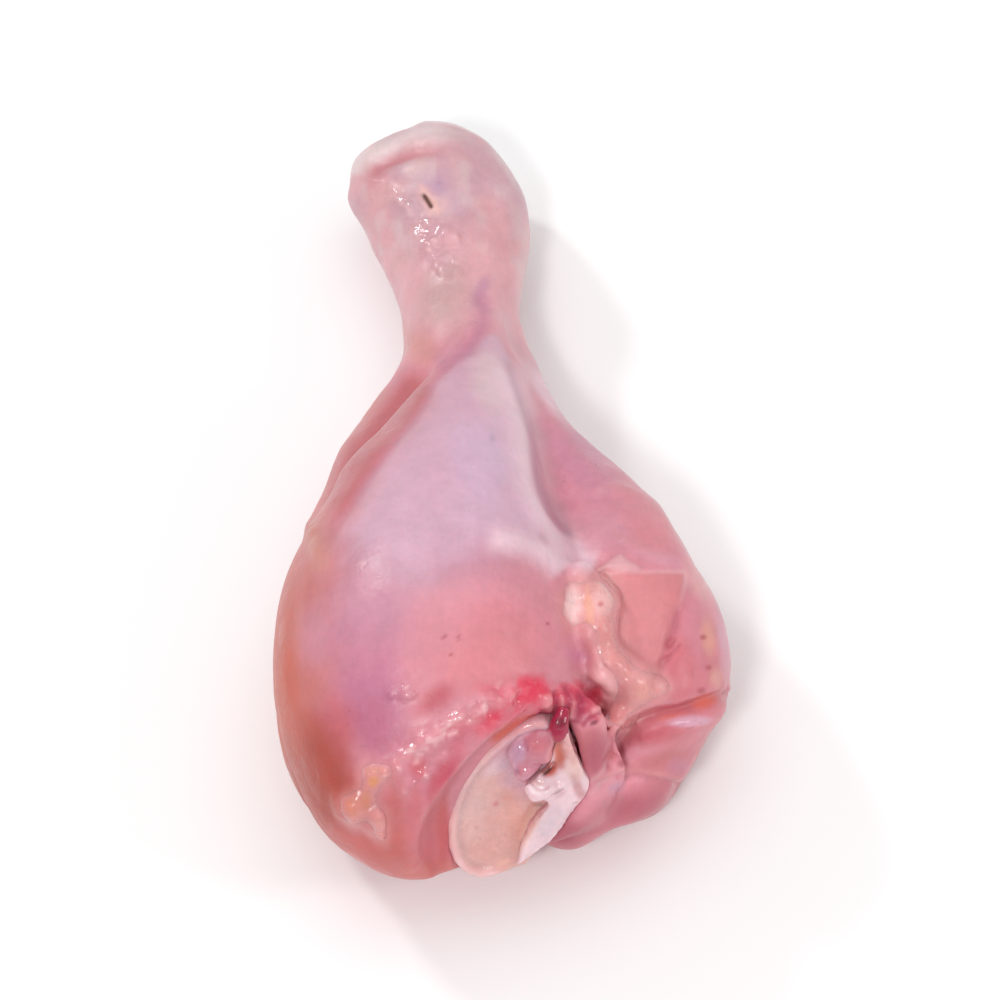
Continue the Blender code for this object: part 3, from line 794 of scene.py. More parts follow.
# Strands of meat laid round the cut knee before it is smoothed. Each knot: a, b, lift, half width and
# half height.
COLLAR = [
    (6.8, -31.6, -1.2, 0.8, 0.9), (3.6, -31.6, -1.2, 1.6, 1.3), (0.4, -33.6, -1.1, 1.9, 1.5),
    (-3.2, -36.6, -1, 2, 1.6), (-6.6, -41, -1, 2, 1.6), (-8.2, -45.6, -1, 2, 1.6),
    (-8, -49.4, -1.1, 1.7, 1.4), (-6.4, -52, -1.4, 1.2, 1.1)]
SHELF = [
    (9.6, -33.4, -2.2, 1.2, 1), (11, -36.4, -1.9, 2, 1.4), (12.2, -39.8, -1.9, 2.3, 1.6),
    (11.8, -43, -1.8, 2.3, 1.6), (10, -46, -1.8, 2.3, 1.5), (7.4, -48.3, -1.9, 2, 1.4),
    (4.4, -49.9, -2, 1.7, 1.3), (1.6, -51, -2.3, 1, 0.9)]
BRIDGE = [
    (8.2, -30.4, -3.2, 1.4, 1.3), (10.2, -31.6, -3, 2, 1.6), (12, -33.4, -3, 2, 1.6),
    (13.4, -35.8, -3.4, 1.6, 1.5)]
SHOULDER = [
    (13.4, -36.4, -4.6, 1.4, 1.4), (14.6, -41, -4, 2.3, 2), (12.8, -45.2, -3.6, 2.3, 1.9),
    (9.6, -47.8, -3.4, 2, 1.7), (6, -49.8, -3.2, 1.4, 1.4)]

# Where those are smoothed most: a, b and the depth under the knee's face.
COLLAR_BACK = [
    (6.4, -30.6, 2), (2.4, -30.4, 2.5), (-1.6, -32.2, 2.5), (-5.8, -36, 2.5), (-9.4, -41.2, 2.5),
    (-11.2, -46.6, 2.5), (-11, -51.2, 2.5)]
SHELF_BACK = [
    (9.4, -31.2, 2.2), (10.6, -33.2, 2.2), (12.4, -36.4, 2.2), (13.8, -40.2, 2.4), (12.8, -44, 2.4),
    (9.8, -47.2, 2.4), (6, -49.2, 2.4)]

# The part with the most detail, the slit in the ankle, the flat muscle at the right, its flap of membrane,
# and the calf's silverskin.
BUSY = [
    (-15, -33), (-4, -25), (4, -20), (8, -11), (16, -8), (26, -10), (32, -20), (32, -30), (24, -43),
    (14, -42), (4, -36), (-4, -38), (-9, -44), (-16, -43)]
SLIT_PLACE = (-10, 36.2)
BLOCK_OUTLINE = [
    (13.2, -12.7), (18, -12.6), (22.4, -12.5), (24.2, -12.9), (23.7, -16), (22.4, -20), (21.2, -24),
    (20.1, -26.8), (18, -25.6), (16, -23.5), (15.2, -20), (14.6, -16.5)]
FLAP_OUTLINE = [(12, -12.5), (13.5, -11.2), (15.3, -10.2), (16.4, -10.9), (18.4, -12.5), (15.2, -12.9)]
SHEET = [
    (-3.6, 18), (-1, 18.8), (0.8, 16), (2.4, 11), (3.8, 6), (4.8, 1), (6, -3), (8.5, -7), (11, -10.5),
    (9, -12.4), (5, -11.2), (0, -10.4), (-5, -13), (-10, -15.5), (-15, -16), (-19.5, -14), (-22.6, -9),
    (-21, -4.5), (-17.5, 0.5), (-12.5, 7), (-9, 12.5)]

# Lines drawn on the flesh.
STROKES = {
    "left_seam": [(-3.4, 19), (-4.6, 17.8), (-6.3, 16.3), (-9, 12.5), (-10.5, 10), (-12.5, 7), (-15, 4),
        (-17.5, 0.5), (-19.5, -2.5), (-21, -4.5), (-22.5, -7.5), (-23.6, -11)],
    "orange_band": [(-9.6, 14), (-12, 11), (-14.5, 8), (-17.5, 4.5), (-20, 0.5), (-22, -3), (-23.6, -7)],
    "groove": [(0.9, 17), (1.5, 13.5), (2.7, 10), (3.8, 7), (4.6, 3.5), (5.1, 0.5), (5.8, -2), (7, -4.5),
        (8.5, -6.5), (10.2, -8.4)],
    "cord": [(0.2, 16), (0.9, 12), (1.9, 8), (2.9, 4), (3.6, 0.5), (4.4, -3), (5.8, -6), (7.8, -8.8),
        (10, -11), (12.5, -12.2)],
    "hem": [(-3, -8), (0, -8.6), (3.2, -9.4), (6, -11), (8, -13)],
    "neck_crease": [(-3.2, 24.5), (-2.6, 22), (-3.6, 18.4), (-5.5, 17), (-7, 15.8), (-9.2, 13.8)],
    "left_rim": [(-15.5, 13), (-17, 11), (-18.5, 8.5), (-20.5, 6), (-22.5, 3), (-24, 0), (-25, -3),
        (-26, -5.5), (-25.2, -8), (-24.3, -11), (-24, -14)],
    "lobe_line": [(10.5, -2.6), (13, -1.8), (15, -1.7), (18, -2.7), (20, -4), (21.8, -5.8)],
    "streak_1": [(13.5, -7.2), (16.5, -8.6), (19.5, -10.4), (23, -11.4)],
    "streak_2": [(6, 8.5), (9.5, 3.5), (13.5, -0.8)],
    "block_groove": [(23.9, -14.5), (23.3, -17.5), (22.6, -20), (22, -22), (21.2, -24.2), (20.5, -26.4)],
    "cut_1": [(22.8, -21.2), (22.3, -22), (21.7, -22.7)],
    "cut_2": [(23.5, -22.3), (22.6, -23.4), (21.4, -24.7)],
    "fold": [(15.8, -34.2), (17.2, -33.1), (19, -32.2), (21, -31.5), (23.4, -31), (25.8, -30.2),
        (28.2, -29.4), (30, -28.8)],
    "fold_left": [(17.2, -33.1), (15.6, -35.4), (14.5, -37.4), (13.6, -39.4)],
    "low_line": [(12, -41), (14, -40.4), (16.4, -39.6), (18.5, -39.7), (21, -40.2), (24.6, -41)],
    "lip": [(-15, -38.4), (-13, -37.2), (-11, -35.9), (-9.3, -34.5), (-7.4, -33.1), (-5, -31.9),
        (-2.8, -30.8), (-0.5, -29.9), (1.5, -29), (3.5, -28.2), (6, -27.8)],
    "swirl": [(10.4, -20.4), (11.4, -22), (12.1, -23.8), (11.8, -25.2), (10.6, -26.2), (9.2, -26.6)],
    "bean": [(14, -30.2), (14.2, -28.6), (13.6, -27.2), (12.6, -26.8), (11.8, -27.5)],
    "rust_line": [(-2.2, -35.9), (-0.2, -34.3), (1.7, -32.9), (3.5, -32.2), (5, -31.9)],
    "crescent": [(1.2, -27.2), (2.8, -27.5), (4.4, -27.9), (4.9, -29)],
    "thread_1": [(10.6, -42.3), (12.4, -41.4), (14.3, -40.5), (16, -39.9)],
    "thread_2": [(11, -40.6), (12.4, -39.7), (13.8, -38.4), (14.6, -37)],
    "knee_fold_1": [(-8.6, -37.5), (-9.3, -40), (-9.7, -44), (-9.6, -49), (-9.2, -53)],
    "knee_fold_2": [(-11.6, -41.5), (-12, -45), (-12, -50), (-11.6, -53)],
    "cap_crease": [(-16.3, 38.8), (-16, 40.7), (-14.6, 41.9), (-12.4, 42.4), (-10.4, 42.7), (-8.2, 42.8),
        (-6.2, 42.2)],
    "cap_rim": [(-18.8, 39.2), (-18.1, 41.8), (-16, 43.7), (-13, 44.7), (-10, 45.1), (-6, 44.8)],
    "slit": [(-10.95, 37.4), (-10.1, 36.2), (-9.35, 35.05)],
}

# Tears and shreds of membrane over the knee: half width, then the line.
TEARS = [
    (0.5, [(7.2, -27.4), (8.2, -28.4), (8.7, -29.6), (8.1, -31), (7.6, -32.4)]),
    (0.8, [(10.2, -28.2), (10.4, -29.8), (9.9, -31.4), (9.4, -33)]),
    (0.4, [(14, -30.3), (12.7, -31.3), (11.2, -32.2), (10.2, -33.4)]),
    (0.4, [(4.4, -31.5), (5.3, -31.6), (6.1, -32.4)]),
    (0.35, [(6.3, -28), (6.8, -29.6), (6.9, -31.4)])]
SHREDS = [
    (0.75, [(5.4, -28.6), (5.6, -29.8), (5.4, -31)]),
    (0.4, [(9.2, -29.4), (9, -30.8), (8.8, -32.4)]),
    (0.5, [(13.6, -30.2), (12.4, -31), (11.4, -31.4)]),
    (0.35, [(7.6, -28.8), (7.6, -30.2), (7.2, -31.6)])]

# How far the flesh stands out along its lines: height, width, how soon it starts and ends, and the offset to
# the line's right.
RELIEF = [
    # the calf: a low step left of its silverskin, and a cord of fascia beside a groove at its right
    ("left_seam", -0.55, 2.6, 0.1, 0.1, -2.2),
    ("left_seam", -0.35, 0.8, 0.05, 0.1, 0),
    ("cord", 0.42, 1.6, 0.1, 0.1, 0),
    ("groove", -0.5, 1.2, 0.15, 0.15, 0.5),
    ("hem", 0.22, 0.9, 0.2, 0.2, 0),
    ("neck_crease", -0.4, 1, 0.2, 0.15, 0),
    # the fold at the right end, the folds left of the cut knee, and the hock
    ("fold", -1.1, 0.8, 0.15, 0.02, 0),
    ("fold", 0.2, 1.7, 0.1, 0.05, -2),
    ("fold", 0.5, 1.5, 0.2, 0.05, 2.2),
    ("fold_left", -0.8, 0.8, 0.05, 0.2, 0),
    ("knee_fold_1", -0.22, 1.2, 0.2, 0.05, 0),
    ("knee_fold_2", -0.15, 1.2, 0.3, 0.05, 0),
    ("cap_crease", -0.55, 0.9, 0.1, 0.3, 0),
    ("cap_rim", 0.45, 1.3, 0.2, 0.3, 0),
    ("slit", -0.5, 0.3, 0.3, 0.3, 0),
]

# Washes over the silverskin, and the small dark specks: a, b, size.
SHEET_WASHES = [
    ((223, 197, 224), -3, 2, 5.5, 8.5, 0, 0.7),
    ((230, 205, 211), -2, 12.5, 2.8, 6.5, 8, 0.85),
    ((223, 188, 207), -12, -3, 6.5, 6, 40, 0.5),
    ((222, 190, 212), -2, -5, 7.5, 4, 0, 0.6),
    ((226, 186, 200), -18.5, -3.5, 1.6, 5, -38, 0.6),
    ((186, 160, 190), -1.5, 4.9, 0.5, 0.6, 0, 0.6)]
SPECKS = (
    (26.3, -21.4, 0.6), (27, -25.4, 0.55), (26.1, -28.5, 0.8), (-8, -21.3, 0.4), (-6, -21.5, 0.4),
    (-7, -23.7, 0.4), (15.6, -38.1, 0.8), (5.8, -19.6, 0.4))


# Faint blotches on the hock: colour, size, the noise's seed, and how much of it they leave out.
HOCK_BLOTCHES = [
    ((204, 170, 186), 4.5, 60, 0), ((222, 176, 174), 3.2, 61, 0), ((214, 190, 190), 2.4, 62, 0.1)]


def flesh_body():
    """The meat, over a core that fills the bone's bore and the hollows under the fat."""
    bone = NODES["bone"].data
    knob = cut_away(grown(bone, 0.4), HOCK_STARTS, FORWARD)
    cuff = cut_away(cut_away(grown(bone, 1.6), HOCK_STARTS, FORWARD), CUFF_ENDS, BACKWARD)
    strands = [strand(KneeFace(), *knots) for knots in (COLLAR, SHELF, BRIDGE, SHOULDER)]
    fat = [grown(NODES[name].data, 0.1) for name in ("fat_flank", "fat_belly")]
    skin = Skin("flesh", [NODES["meat"].data] + strands + [grown(bone, 0.8, 0.84), knob, cuff] + fat,
                FLESH_VOXEL)
    skin.relax(40)
    skin.relax(12, keep_volume=False, share=soft(skin.p[:, 1], 52, 56))
    skin.relax(55, keep_volume=False, share=around(skin, COLLAR_BACK, 6.0))
    skin.relax(70, keep_volume=False, share=around(skin, SHELF_BACK, 4.6))
    skin.look()
    slit_place = skin.oval(*SLIT_PLACE, 1.6, 2.0)
    skin.refine((skin.region(*BUSY) > 0) | (slit_place < 1) | (skin.region(*WET_HOCK) > -2.4))
    skin.look()
    skin.refine(skin.oval(*SLIT_PLACE, 1.2, 1.6) < 1)
    skin.relax(3, keep_volume=False)
    hold_back(skin, LOW_OUTLINE)
    skin.look()
    return skin


class Marks:
    """What is drawn on the flesh, measured before its relief is raised. Functions call its lines `s`."""

    def __init__(self, skin):
        self.lines = {name: skin.stroke(*knots) for name, knots in STROKES.items()}
        self.tears = [(skin.stroke(*knots, reach=3), width) for width, knots in TEARS]
        self.shreds = [(skin.stroke(*knots, reach=3), width) for width, knots in SHREDS]
        self.glints = [skin.stroke(*knots, reach=3) for knots in GLISTENING]
        self.block, self.flap = skin.region(*BLOCK_OUTLINE), skin.region(*FLAP_OUTLINE)
        self.ragged = noise(skin.p, 1.5, 15) + 0.6 * noise(skin.p, 0.8, 16)
        self.torn = skin.spot(8.0, -30.5, 6.0, 3.6, 0, 0.4)
        self.wet_patch = soft(skin.region(*WET_HOCK) + 0.7 * self.ragged, -1.4, 2.4)


def raise_relief(skin, marks):
    """Seams, cords, folds, the torn lip and the hock's creases, as heights along the flesh's normals."""
    s, p, ragged, torn = marks.lines, skin.p, marks.ragged, marks.torn
    out = np.zeros(len(p))
    for name, height, width, start, end, offset in RELIEF:
        out += height * s[name].band(width, start, end, offset)
    # the calf's left rim of membrane, and streaks on the lobe at its right
    out += (0.55 + 0.3 * noise(p, 1.6, 3)) * s["left_rim"].band(1.0, 0.1, 0.2)
    out += 0.3 * s["lobe_line"].band(0.6, 0.2, 0.2) - 0.35 * s["lobe_line"].step(1.0, 3.0)
    out += 0.2 * s["streak_1"].band(0.6, 0.2, 0.2) + 0.15 * s["streak_2"].band(0.7, 0.2, 0.2)
    # the flat muscle at the right with its flap of membrane, and the fold under it
    out += 0.34 * soft(marks.block, -0.2, 1.0) * soft(skin.drawn[:, 0], 14, 18)
    out += 0.35 * soft(marks.flap, -0.1, 0.9)
    out -= (0.35 + 0.25 * noise(p, 1.4, 14)) * s["block_groove"].band(1.0, 0.25, 0.15)
    out -= 0.4 * s["cut_1"].band(0.35, 0.2, 0.2) + 0.45 * s["cut_2"].band(0.35, 0.15, 0.15)
    out -= 0.8 * s["low_line"].step(0.9, 4.0, 0.1, 0.02) + 0.3 * s["low_line"].band(0.6, 0.1)
    # round the cut knee: the membrane's torn lip, and the wet band inside it
    out += (0.35 + 0.4 * ragged) * s["lip"].band(1.5, 0.05, 0.15)
    for glint in marks.glints:
        out += np.maximum(0.18 + 0.3 * noise(p, 0.9, 19), 0) * glint.band(0.5, 0.1, 0.1)
    out += 0.34 * noise(p, 1.2, 27) * s["lip"].band(2.2, 0.05, 0.15)
    out += 0.2 * soft(noise(p, 0.85, 70), 0.05, 0.5) * s["lip"].band(1.3, 0.0, 0.3)
    out += 0.22 * skin.spot(-12.7, -29.0, 1.0, 0.8, 0, 0.0)
    out -= 0.55 * s["lip"].step(1.6, 3.6, 0.1, 0.15)
    out += 0.3 * s["swirl"].band(0.8, 0.25, 0.1) + 0.5 * s["bean"].band(1.1, 0.1, 0.2)
    out += 0.14 * (s["thread_1"].band(0.35, 0.1, 0.3) + s["thread_2"].band(0.35, 0.1, 0.3))
    out += torn * 0.25 * ragged
    for tear, width in marks.tears:
        out -= 0.3 * tear.band(width, 0.3, 0.2)
    for shred, width in marks.shreds:
        out += 0.25 * shred.band(width, 0.3, 0.25)
    out -= 0.8 * skin.spot(7.2, -33.4, 1.4, 1.4) + 0.4 * skin.spot(11.8, -32.7, 1.0, 0.5, 25)
    # the hock
    out += 0.45 * skin.spot(-12.5, 40.2, 2.2, 1.4, 20) - 0.4 * skin.spot(-9.3, 38.3, 2.2, 1.5, -15)
    out += 0.16 * noise(p, 1.5, 20) * marks.wet_patch
    # general unevenness
    out += 0.25 * noise(p, 9.0, 1) + 0.11 * noise(p, 3.6, 2) + 0.025 * noise(p, 1.4, 4)
    skin.push(out)


def straighten(skin):
    """Draws the flesh in or out to its outline at the hock, the neck and the calf's left."""
    skin.relax(1, keep_volume=False)
    skin.p[:, 2] = np.maximum(skin.p[:, 2], 0.0)
    left_of_hock = soft(-skin.drawn[:, 0], 12, 19) * soft(skin.drawn[:, 1], 31, 37)
    skin.p -= RIGHT * (1.4 * left_of_hock)[:, None]
    sides = 1.5 * soft(-skin.drawn[:, 0], 11.5, 15.5) + 1.2 * soft(skin.drawn[:, 0], -7.5, -3)
    skin.p -= UP * (sides * soft(skin.drawn[:, 1], 38.5, 45))[:, None]
    for at, reach, amount in ((26.0, 2.0, 0.5), (17.5, 2.6, -0.9)):
        near = np.exp(-((skin.drawn[:, 1] - at) / reach) ** 2) * soft(skin.drawn[:, 0], -2, 3)
        skin.p += RIGHT * (amount * near)[:, None]
    near = np.exp(-((skin.drawn[:, 1] - 3) / 4.5) ** 2) * soft(-skin.drawn[:, 0], 16, 21)
    skin.p -= RIGHT * (0.7 * near)[:, None]
    hold_back(skin, HOCK_OUTLINE)
    skin.look()


def trace(skin, lines, rows):
    """Paints along lines. Each row: colour, line, strength, width, how soon it starts and ends, offset."""
    for colour, name, strength, width, start, end, offset in rows:
        skin.paint(colour, strength * lines[name].band(width, start, end, offset))


def paint_muscle(skin, s, cloud):
    """The muscle's colours, then the calf's silverskin, brightest down the middle and at the cord, then
    painted shade.
    """
    p = skin.p
    skin.paint(UNDERSIDE, np.ones(len(p)))
    skin.paint(ROSE, soft(p[:, 2] + 14 * soft(p[:, 1], 0, 30), 6, 22))
    skin.paint(LEFT_BASE, 0.9 * soft(-p[:, 0], 17, 26) * soft(-p[:, 1], 8, 22))
    skin.paint(RIGHT_BASE, 0.8 * soft(p[:, 0], 14, 24) * soft(-p[:, 1], 24, 36))
    skin.paint(NECK_PINK, soft(p[:, 1], 14, 26))
    skin.wash(WASHES, cloud)
    low_edge = soft(skin.drawn[:, 1], -1, -9)
    sheet = skin.region(*SHEET, reach=12)
    skin.paint(SILVERSKIN, 0.92 * soft(sheet + 12 * cloud * low_edge, -0.2, 0.9 + 4.5 * low_edge))
    skin.wash(SHEET_WASHES, cloud)
    # seams and edges, with painted shade in the creases and the groove
    trace(skin, s, [
        (ORANGE_BAND, "orange_band", 1.2, 2.3, 0.15, 0.2, 0.0),
        (CREAM_EDGE, "left_rim", 0.8, 1.5, 0.1, 0.1, 0.0),
        # painted shade: lilac along the neck crease and the left seam's top
        (LILAC_AND_CREASE_SHADE, "neck_crease", 0.75, 1.2, 0.15, 0.1, 0.0),
        (LILAC_AND_CREASE_SHADE, "left_seam", 0.4, 0.5, 0.0, 0.4, 0.0),
        (MEMBRANE, "cord", 0.95, 2.0, 0.1, 0.05, 0.0),
        # painted shade down the groove
        (GROOVE_SHADE, "groove", 0.6, 0.8, 0.1, 0.1, 0.6),
        (MEMBRANE, "hem", 0.95, 1.7, 0.2, 0.1, 0.0)])
    # painted shade where the groove meets the hem
    skin.paint(GROOVE_SHADE, 0.35 * skin.spot(5.2, -8.4, 1.4, 0.5, -50))
    skin.paint(FLAP, 0.5 * s["lobe_line"].band(0.5, 0.25, 0.2))
    skin.paint(FLAP, 0.4 * s["streak_1"].band(0.5, 0.2, 0.2) + 0.3 * s["streak_2"].band(0.8, 0.2, 0.2))
    a, b = skin.drawn.T
    # painted shade: the tint darkened over the left and the top, not at the right end or below the knee's
    # right
    darker = (1 - 0.7 * soft(a, 17, 25)) * (1 - soft(-b, 27, 33) * soft(a, 2, 12))
    skin.tint *= 1 - np.outer(darker, (0.11, 0.15, 0.15))
    skin.tint *= (0.99, 0.925, 0.935)
    # painted shade: a little darker again over the hock
    skin.tint *= (1 - 0.06 * soft(b, 30, 37))[:, None]


def paint_right_end(skin, s, marks, cloud):
    block, flap = marks.block, marks.flap
    skin.paint(BLOCK, 0.9 * soft(block + 3 * cloud, 0, 0.8))
    edge = soft(block, -0.3, 0.1) * (1 - soft(block, 0.2, 0.9))
    skin.paint(BLOCK_EDGE, 0.6 * edge * soft(skin.drawn[:, 1], -21, -13))
    skin.paint(FLAP, 0.9 * soft(flap, 0, 0.6))
    skin.paint(BLOCK_GROOVE, 0.55 * s["block_groove"].band(1.0, 0.3, 0.15))
    skin.paint(BLOCK_GROOVE, 0.8 * s["cut_1"].band(0.35, 0.2, 0.2) + 0.8 * s["cut_2"].band(0.35, 0.15, 0.15))
    # painted shade down the fold's crease
    skin.paint(FOLD_SHADE, 0.8 * s["fold"].band(0.8, 0.1, 0.2))
    orange = 0.85 * skin.spot(26.6, -29.9, 2.2, 1.1, 20) + 0.5 * skin.spot(22, -31.9, 2.4, 0.6, 12)
    skin.paint(FOLD_ORANGE, orange)
    # pale membrane on the bulge below the fold, partly a painted highlight
    skin.paint(FOLD_MEMBRANE_AND_HIGHLIGHT, 0.95 * skin.spot(24.6, -32.5, 3.3, 0.85, 3, 0.5))
    trace(skin, s, [
        # painted shade along the fold's left branch
        (FOLD_SHADE, "fold_left", 0.5, 0.9, 0.1, 0.2, 0.0),
        (MUSCLE_LINE, "low_line", 0.6, 0.6, 0.1, 0.1, -0.5)])
    for a, b, size in SPECKS:
        skin.paint(SPECK_RED, 0.75 * skin.spot(a, b, size, size * 0.8))


def paint_knee(skin, s, marks, cloud):
    p = skin.p
    skin.paint(CRIMSON_RIM, 0.8 * s["lip"].step(1.0, 2.6, 0.15, 0.1) * soft(s["lip"].along, 0.25, 0.6))
    skin.paint(LIP_PINK, 0.6 * s["lip"].band(0.9, 0.05, 0.3))
    skin.paint(BLOOD, 0.6 * skin.spot(-1.6, -32.8, 2.8, 1.4, 38, 0.1, cloud))
    skin.paint(RUST_RED, 0.9 * s["rust_line"].band(0.6, 0.2, 0.1))
    # painted highlight: pale glints along the wet ridges and in flecks down the lip, partly pale torn
    # membrane
    for glint in marks.glints:
        skin.paint(GLINT_PINK, 0.38 * glint.band(0.34, 0.15, 0.15) * soft(noise(p, 0.9, 19), -0.4, 0.3))
    skin.paint(GLINT_PINK, 0.5 * soft(noise(p, 0.85, 70), 0.15, 0.5) * s["lip"].band(1.1, 0.0, 0.35))
    skin.paint(SWIRL_PINK, 0.7 * s["swirl"].band(0.8, 0.2, 0.05))
    skin.paint(MAUVE_PATCH, 0.7 * skin.spot(9.4, -23.8, 2.2, 1.3, -30, 0.2, cloud))
    stain = 0.9 * noise(p, 1.7, 17) + 0.5 * noise(p, 0.8, 18)
    skin.paint(CRIMSON_RIM, 0.7 * skin.spot(4.0, -29.6, 8.0, 3.4, 0, 0.1, 0.4 * stain))
    skin.paint(BLOOD, 0.85 * skin.spot(3.2, -28.6, 3.8, 2.0, 15, 0.1, 0.5 * stain))
    skin.paint(BLOOD, 0.7 * skin.spot(-1.2, -31.9, 2.0, 1.1, 35, 0.1, 0.5 * stain))
    skin.paint(BLOOD, 0.75 * skin.spot(9.8, -29.6, 4.4, 3.0, 10, 0.3, 0.5 * stain))
    skin.paint(BLOOD_DEEP, 0.85 * skin.spot(9.6, -30.6, 3.0, 2.4, 25, 0.1, 0.6 * stain))
    skin.paint(BLOOD_DEEP, 0.7 * skin.spot(5.6, -31.4, 1.3, 1.0, -40, 0.1, 0.5 * stain))
    skin.paint(BLOOD, 0.8 * s["crescent"].band(0.9, 0.2, 0.2) + 0.7 * skin.spot(12.2, -29.3, 1.1, 1.2))
    for shred, width in marks.shreds:
        skin.paint(SHRED, 0.55 * shred.band(width, 0.25, 0.2))
    for tear, width in marks.tears:
        skin.paint(BLOOD_DEEP, 0.7 * tear.band(width, 0.2, 0.1))
    skin.paint(BEAN_PINK, 0.85 * s["bean"].band(1.1, 0.1, 0.15))
    skin.paint(FLAP, 0.6 * (s["thread_1"].band(0.35, 0.1, 0.4) + s["thread_2"].band(0.35, 0.1, 0.4)))
    skin.paint(BLOOD_DEEP, skin.spot(7.2, -33.4, 1.5, 1.5) + 0.8 * skin.spot(5.4, -31.8, 1.2, 0.6, -20))
    skin.paint(CLOT, 0.8 * skin.spot(11.9, -32.7, 0.8, 0.4, 25))
    for outline in (FLANK_FAT, BELLY_FAT):
        edge = skin.region(*outline)
        skin.paint(FAT_PINK, 0.6 * soft(edge + 4 * cloud, -0.7, 1.4))


def paint_hock(skin, s):
    p = skin.p
    knob = soft(p[:, 1], 30, 40)
    for colour, size, seed, low in HOCK_BLOTCHES:
        skin.paint(colour, 0.4 * knob * soft(noise(p, size, seed), low, 0.7))
    end = soft(skin.normals()[:, 1], 0.3, 0.85) * soft(p[:, 1], 51, 57)
    skin.paint(HOCK_END, 0.85 * soft(end + 0.3 * noise(p, 2.6, 63), 0.2, 0.9))
    skin.paint(LILAC_AND_CREASE_SHADE, 0.3 * end * soft(noise(p, 3.4, 64), 0.0, 0.6))
    trace(skin, s, [
        (CAP, "cap_rim", 0.8, 1.4, 0.1, 0.2, 0.0),
        (CREASE_RED, "cap_crease", 0.85, 0.8, 0.15, 0.5, 0.0),
        # the pale rim left of the slit, partly a painted highlight
        (SLIT_RIM_AND_HIGHLIGHT, "slit", 0.8, 0.8, 0.0, 0.0, -0.3),
        (SLIT, "slit", 1.2, 0.27, 0.25, 0.25, 0.0)])
    fibres = noise(p * (1, 0.16, 1), 1.1, 7)
    skin.tint *= (1 + 0.012 * fibres)[:, None]


def wet_flesh(skin, s, marks):
    """Wet: the torn lip over the knee, the blood, the hock's front, and a few other places."""
    skin.wet = 0.95 * s["lip"].band(1.7, 0.0, 0.1) + 0.7 * marks.torn + 0.9 * marks.wet_patch
    for glint in marks.glints:
        skin.wet += glint.band(0.7)
    skin.wet += 0.9 * skin.spot(-12.8, -39.8, 2.0, 2.4) + 0.8 * skin.spot(24.2, -32.9, 3.0, 0.9, 6)
    skin.wet += 0.6 * skin.spot(-12.8, -28.8, 1.2, 1.0) + 0.4 * s["lip"].step(1.0, 3.0)
    skin.wet += 0.35 * soft(noise(skin.p, 5.0, 12), 0.2, 0.8)


def make_flesh():
    """The flesh, from its body to its last fleck of colour. Later strokes of paint lie over earlier ones."""
    skin = flesh_body()
    marks = Marks(skin)
    raise_relief(skin, marks)
    straighten(skin)
    p, s = skin.p, marks.lines
    cloud = 0.16 * noise(p, 6.5, 8) + 0.09 * noise(p, 3.0, 9) + 0.05 * noise(p, 1.4, 10)
    paint_muscle(skin, s, cloud)
    paint_right_end(skin, s, marks, cloud)
    paint_knee(skin, s, marks, cloud)
    paint_hock(skin, s)
    wet_flesh(skin, s, marks)
    return skin


# ------------------------------------------------------------------ bone, gristle and fat

# The bone's plate at the knee: its outline, its raised rim, the slit in it, and its washes of colour.
PLATE_OUTLINE = [
    (4.4, -32.3), (6.2, -33.2), (7.2, -35), (8.2, -37), (8.4, -40), (7.6, -43), (6.2, -46.5), (4.2, -49.6),
    (2.2, -51.7), (-0.5, -53), (-3.5, -54.2), (-6, -53), (-7.6, -50), (-8, -47), (-7.6, -44), (-6.6, -41.4),
    (-4.8, -38.8), (-2.6, -36.6), (0, -34.4), (2.4, -32.8)]
RIM_LINE = [
    (5.8, -33), (4.4, -32.9), (2.3, -33.6), (0, -35), (-2.4, -36.9), (-4.8, -39.7), (-6.2, -42.5),
    (-6.9, -45.2), (-7, -48), (-6.3, -50.6), (-5, -52.3), (-3, -52.9), (0, -52.2)]
PLATE_SLIT = [(4.6, -43.2), (3.6, -44.8), (2.8, -46.6), (2.3, -48.2)]
PLATE_WASHES = [
    (PLATE_PALE, -4.2, -44, 2.6, 7, -5, 0.8),
    (PLATE_WARM, 1.4, -45.5, 1.6, 5.5, 12, 0.6),
    ((222, 166, 160), -2.4, -49.4, 2.8, 2, 0, 0.5),
    ((228, 194, 202), -1, -38.2, 2.2, 1.5, 35, 0.8),
    ((204, 130, 138), -1, -43.4, 0.5, 0.5, 0, 0.8),
    ((208, 140, 142), -3.6, -46.5, 0.4, 0.4, 0, 0.6),
    ((208, 140, 142), 0.2, -47.6, 0.35, 0.35, 0, 0.5),
    (BROWN_SLIT, 0, -51.2, 1.3, 0.5, 18, 0.7),
    (BROWN_SLIT, 3.3, -45.5, 0.9, 2.9, -22, 0.85),
    # painted shade at the top of the plate's slit
    (SLIT_SHADE, 4.6, -43.5, 0.9, 0.35, 0, 0.4),
    ((216, 178, 198), 0.6, -36.8, 1.8, 2.4, -30, 0.8),
    ((208, 146, 156), 3, -33.5, 4.4, 1.9, 18, 0.95),
    (BLOOD_DEEP, 7.2, -33.6, 1.4, 1.4, 0, 0.9)]

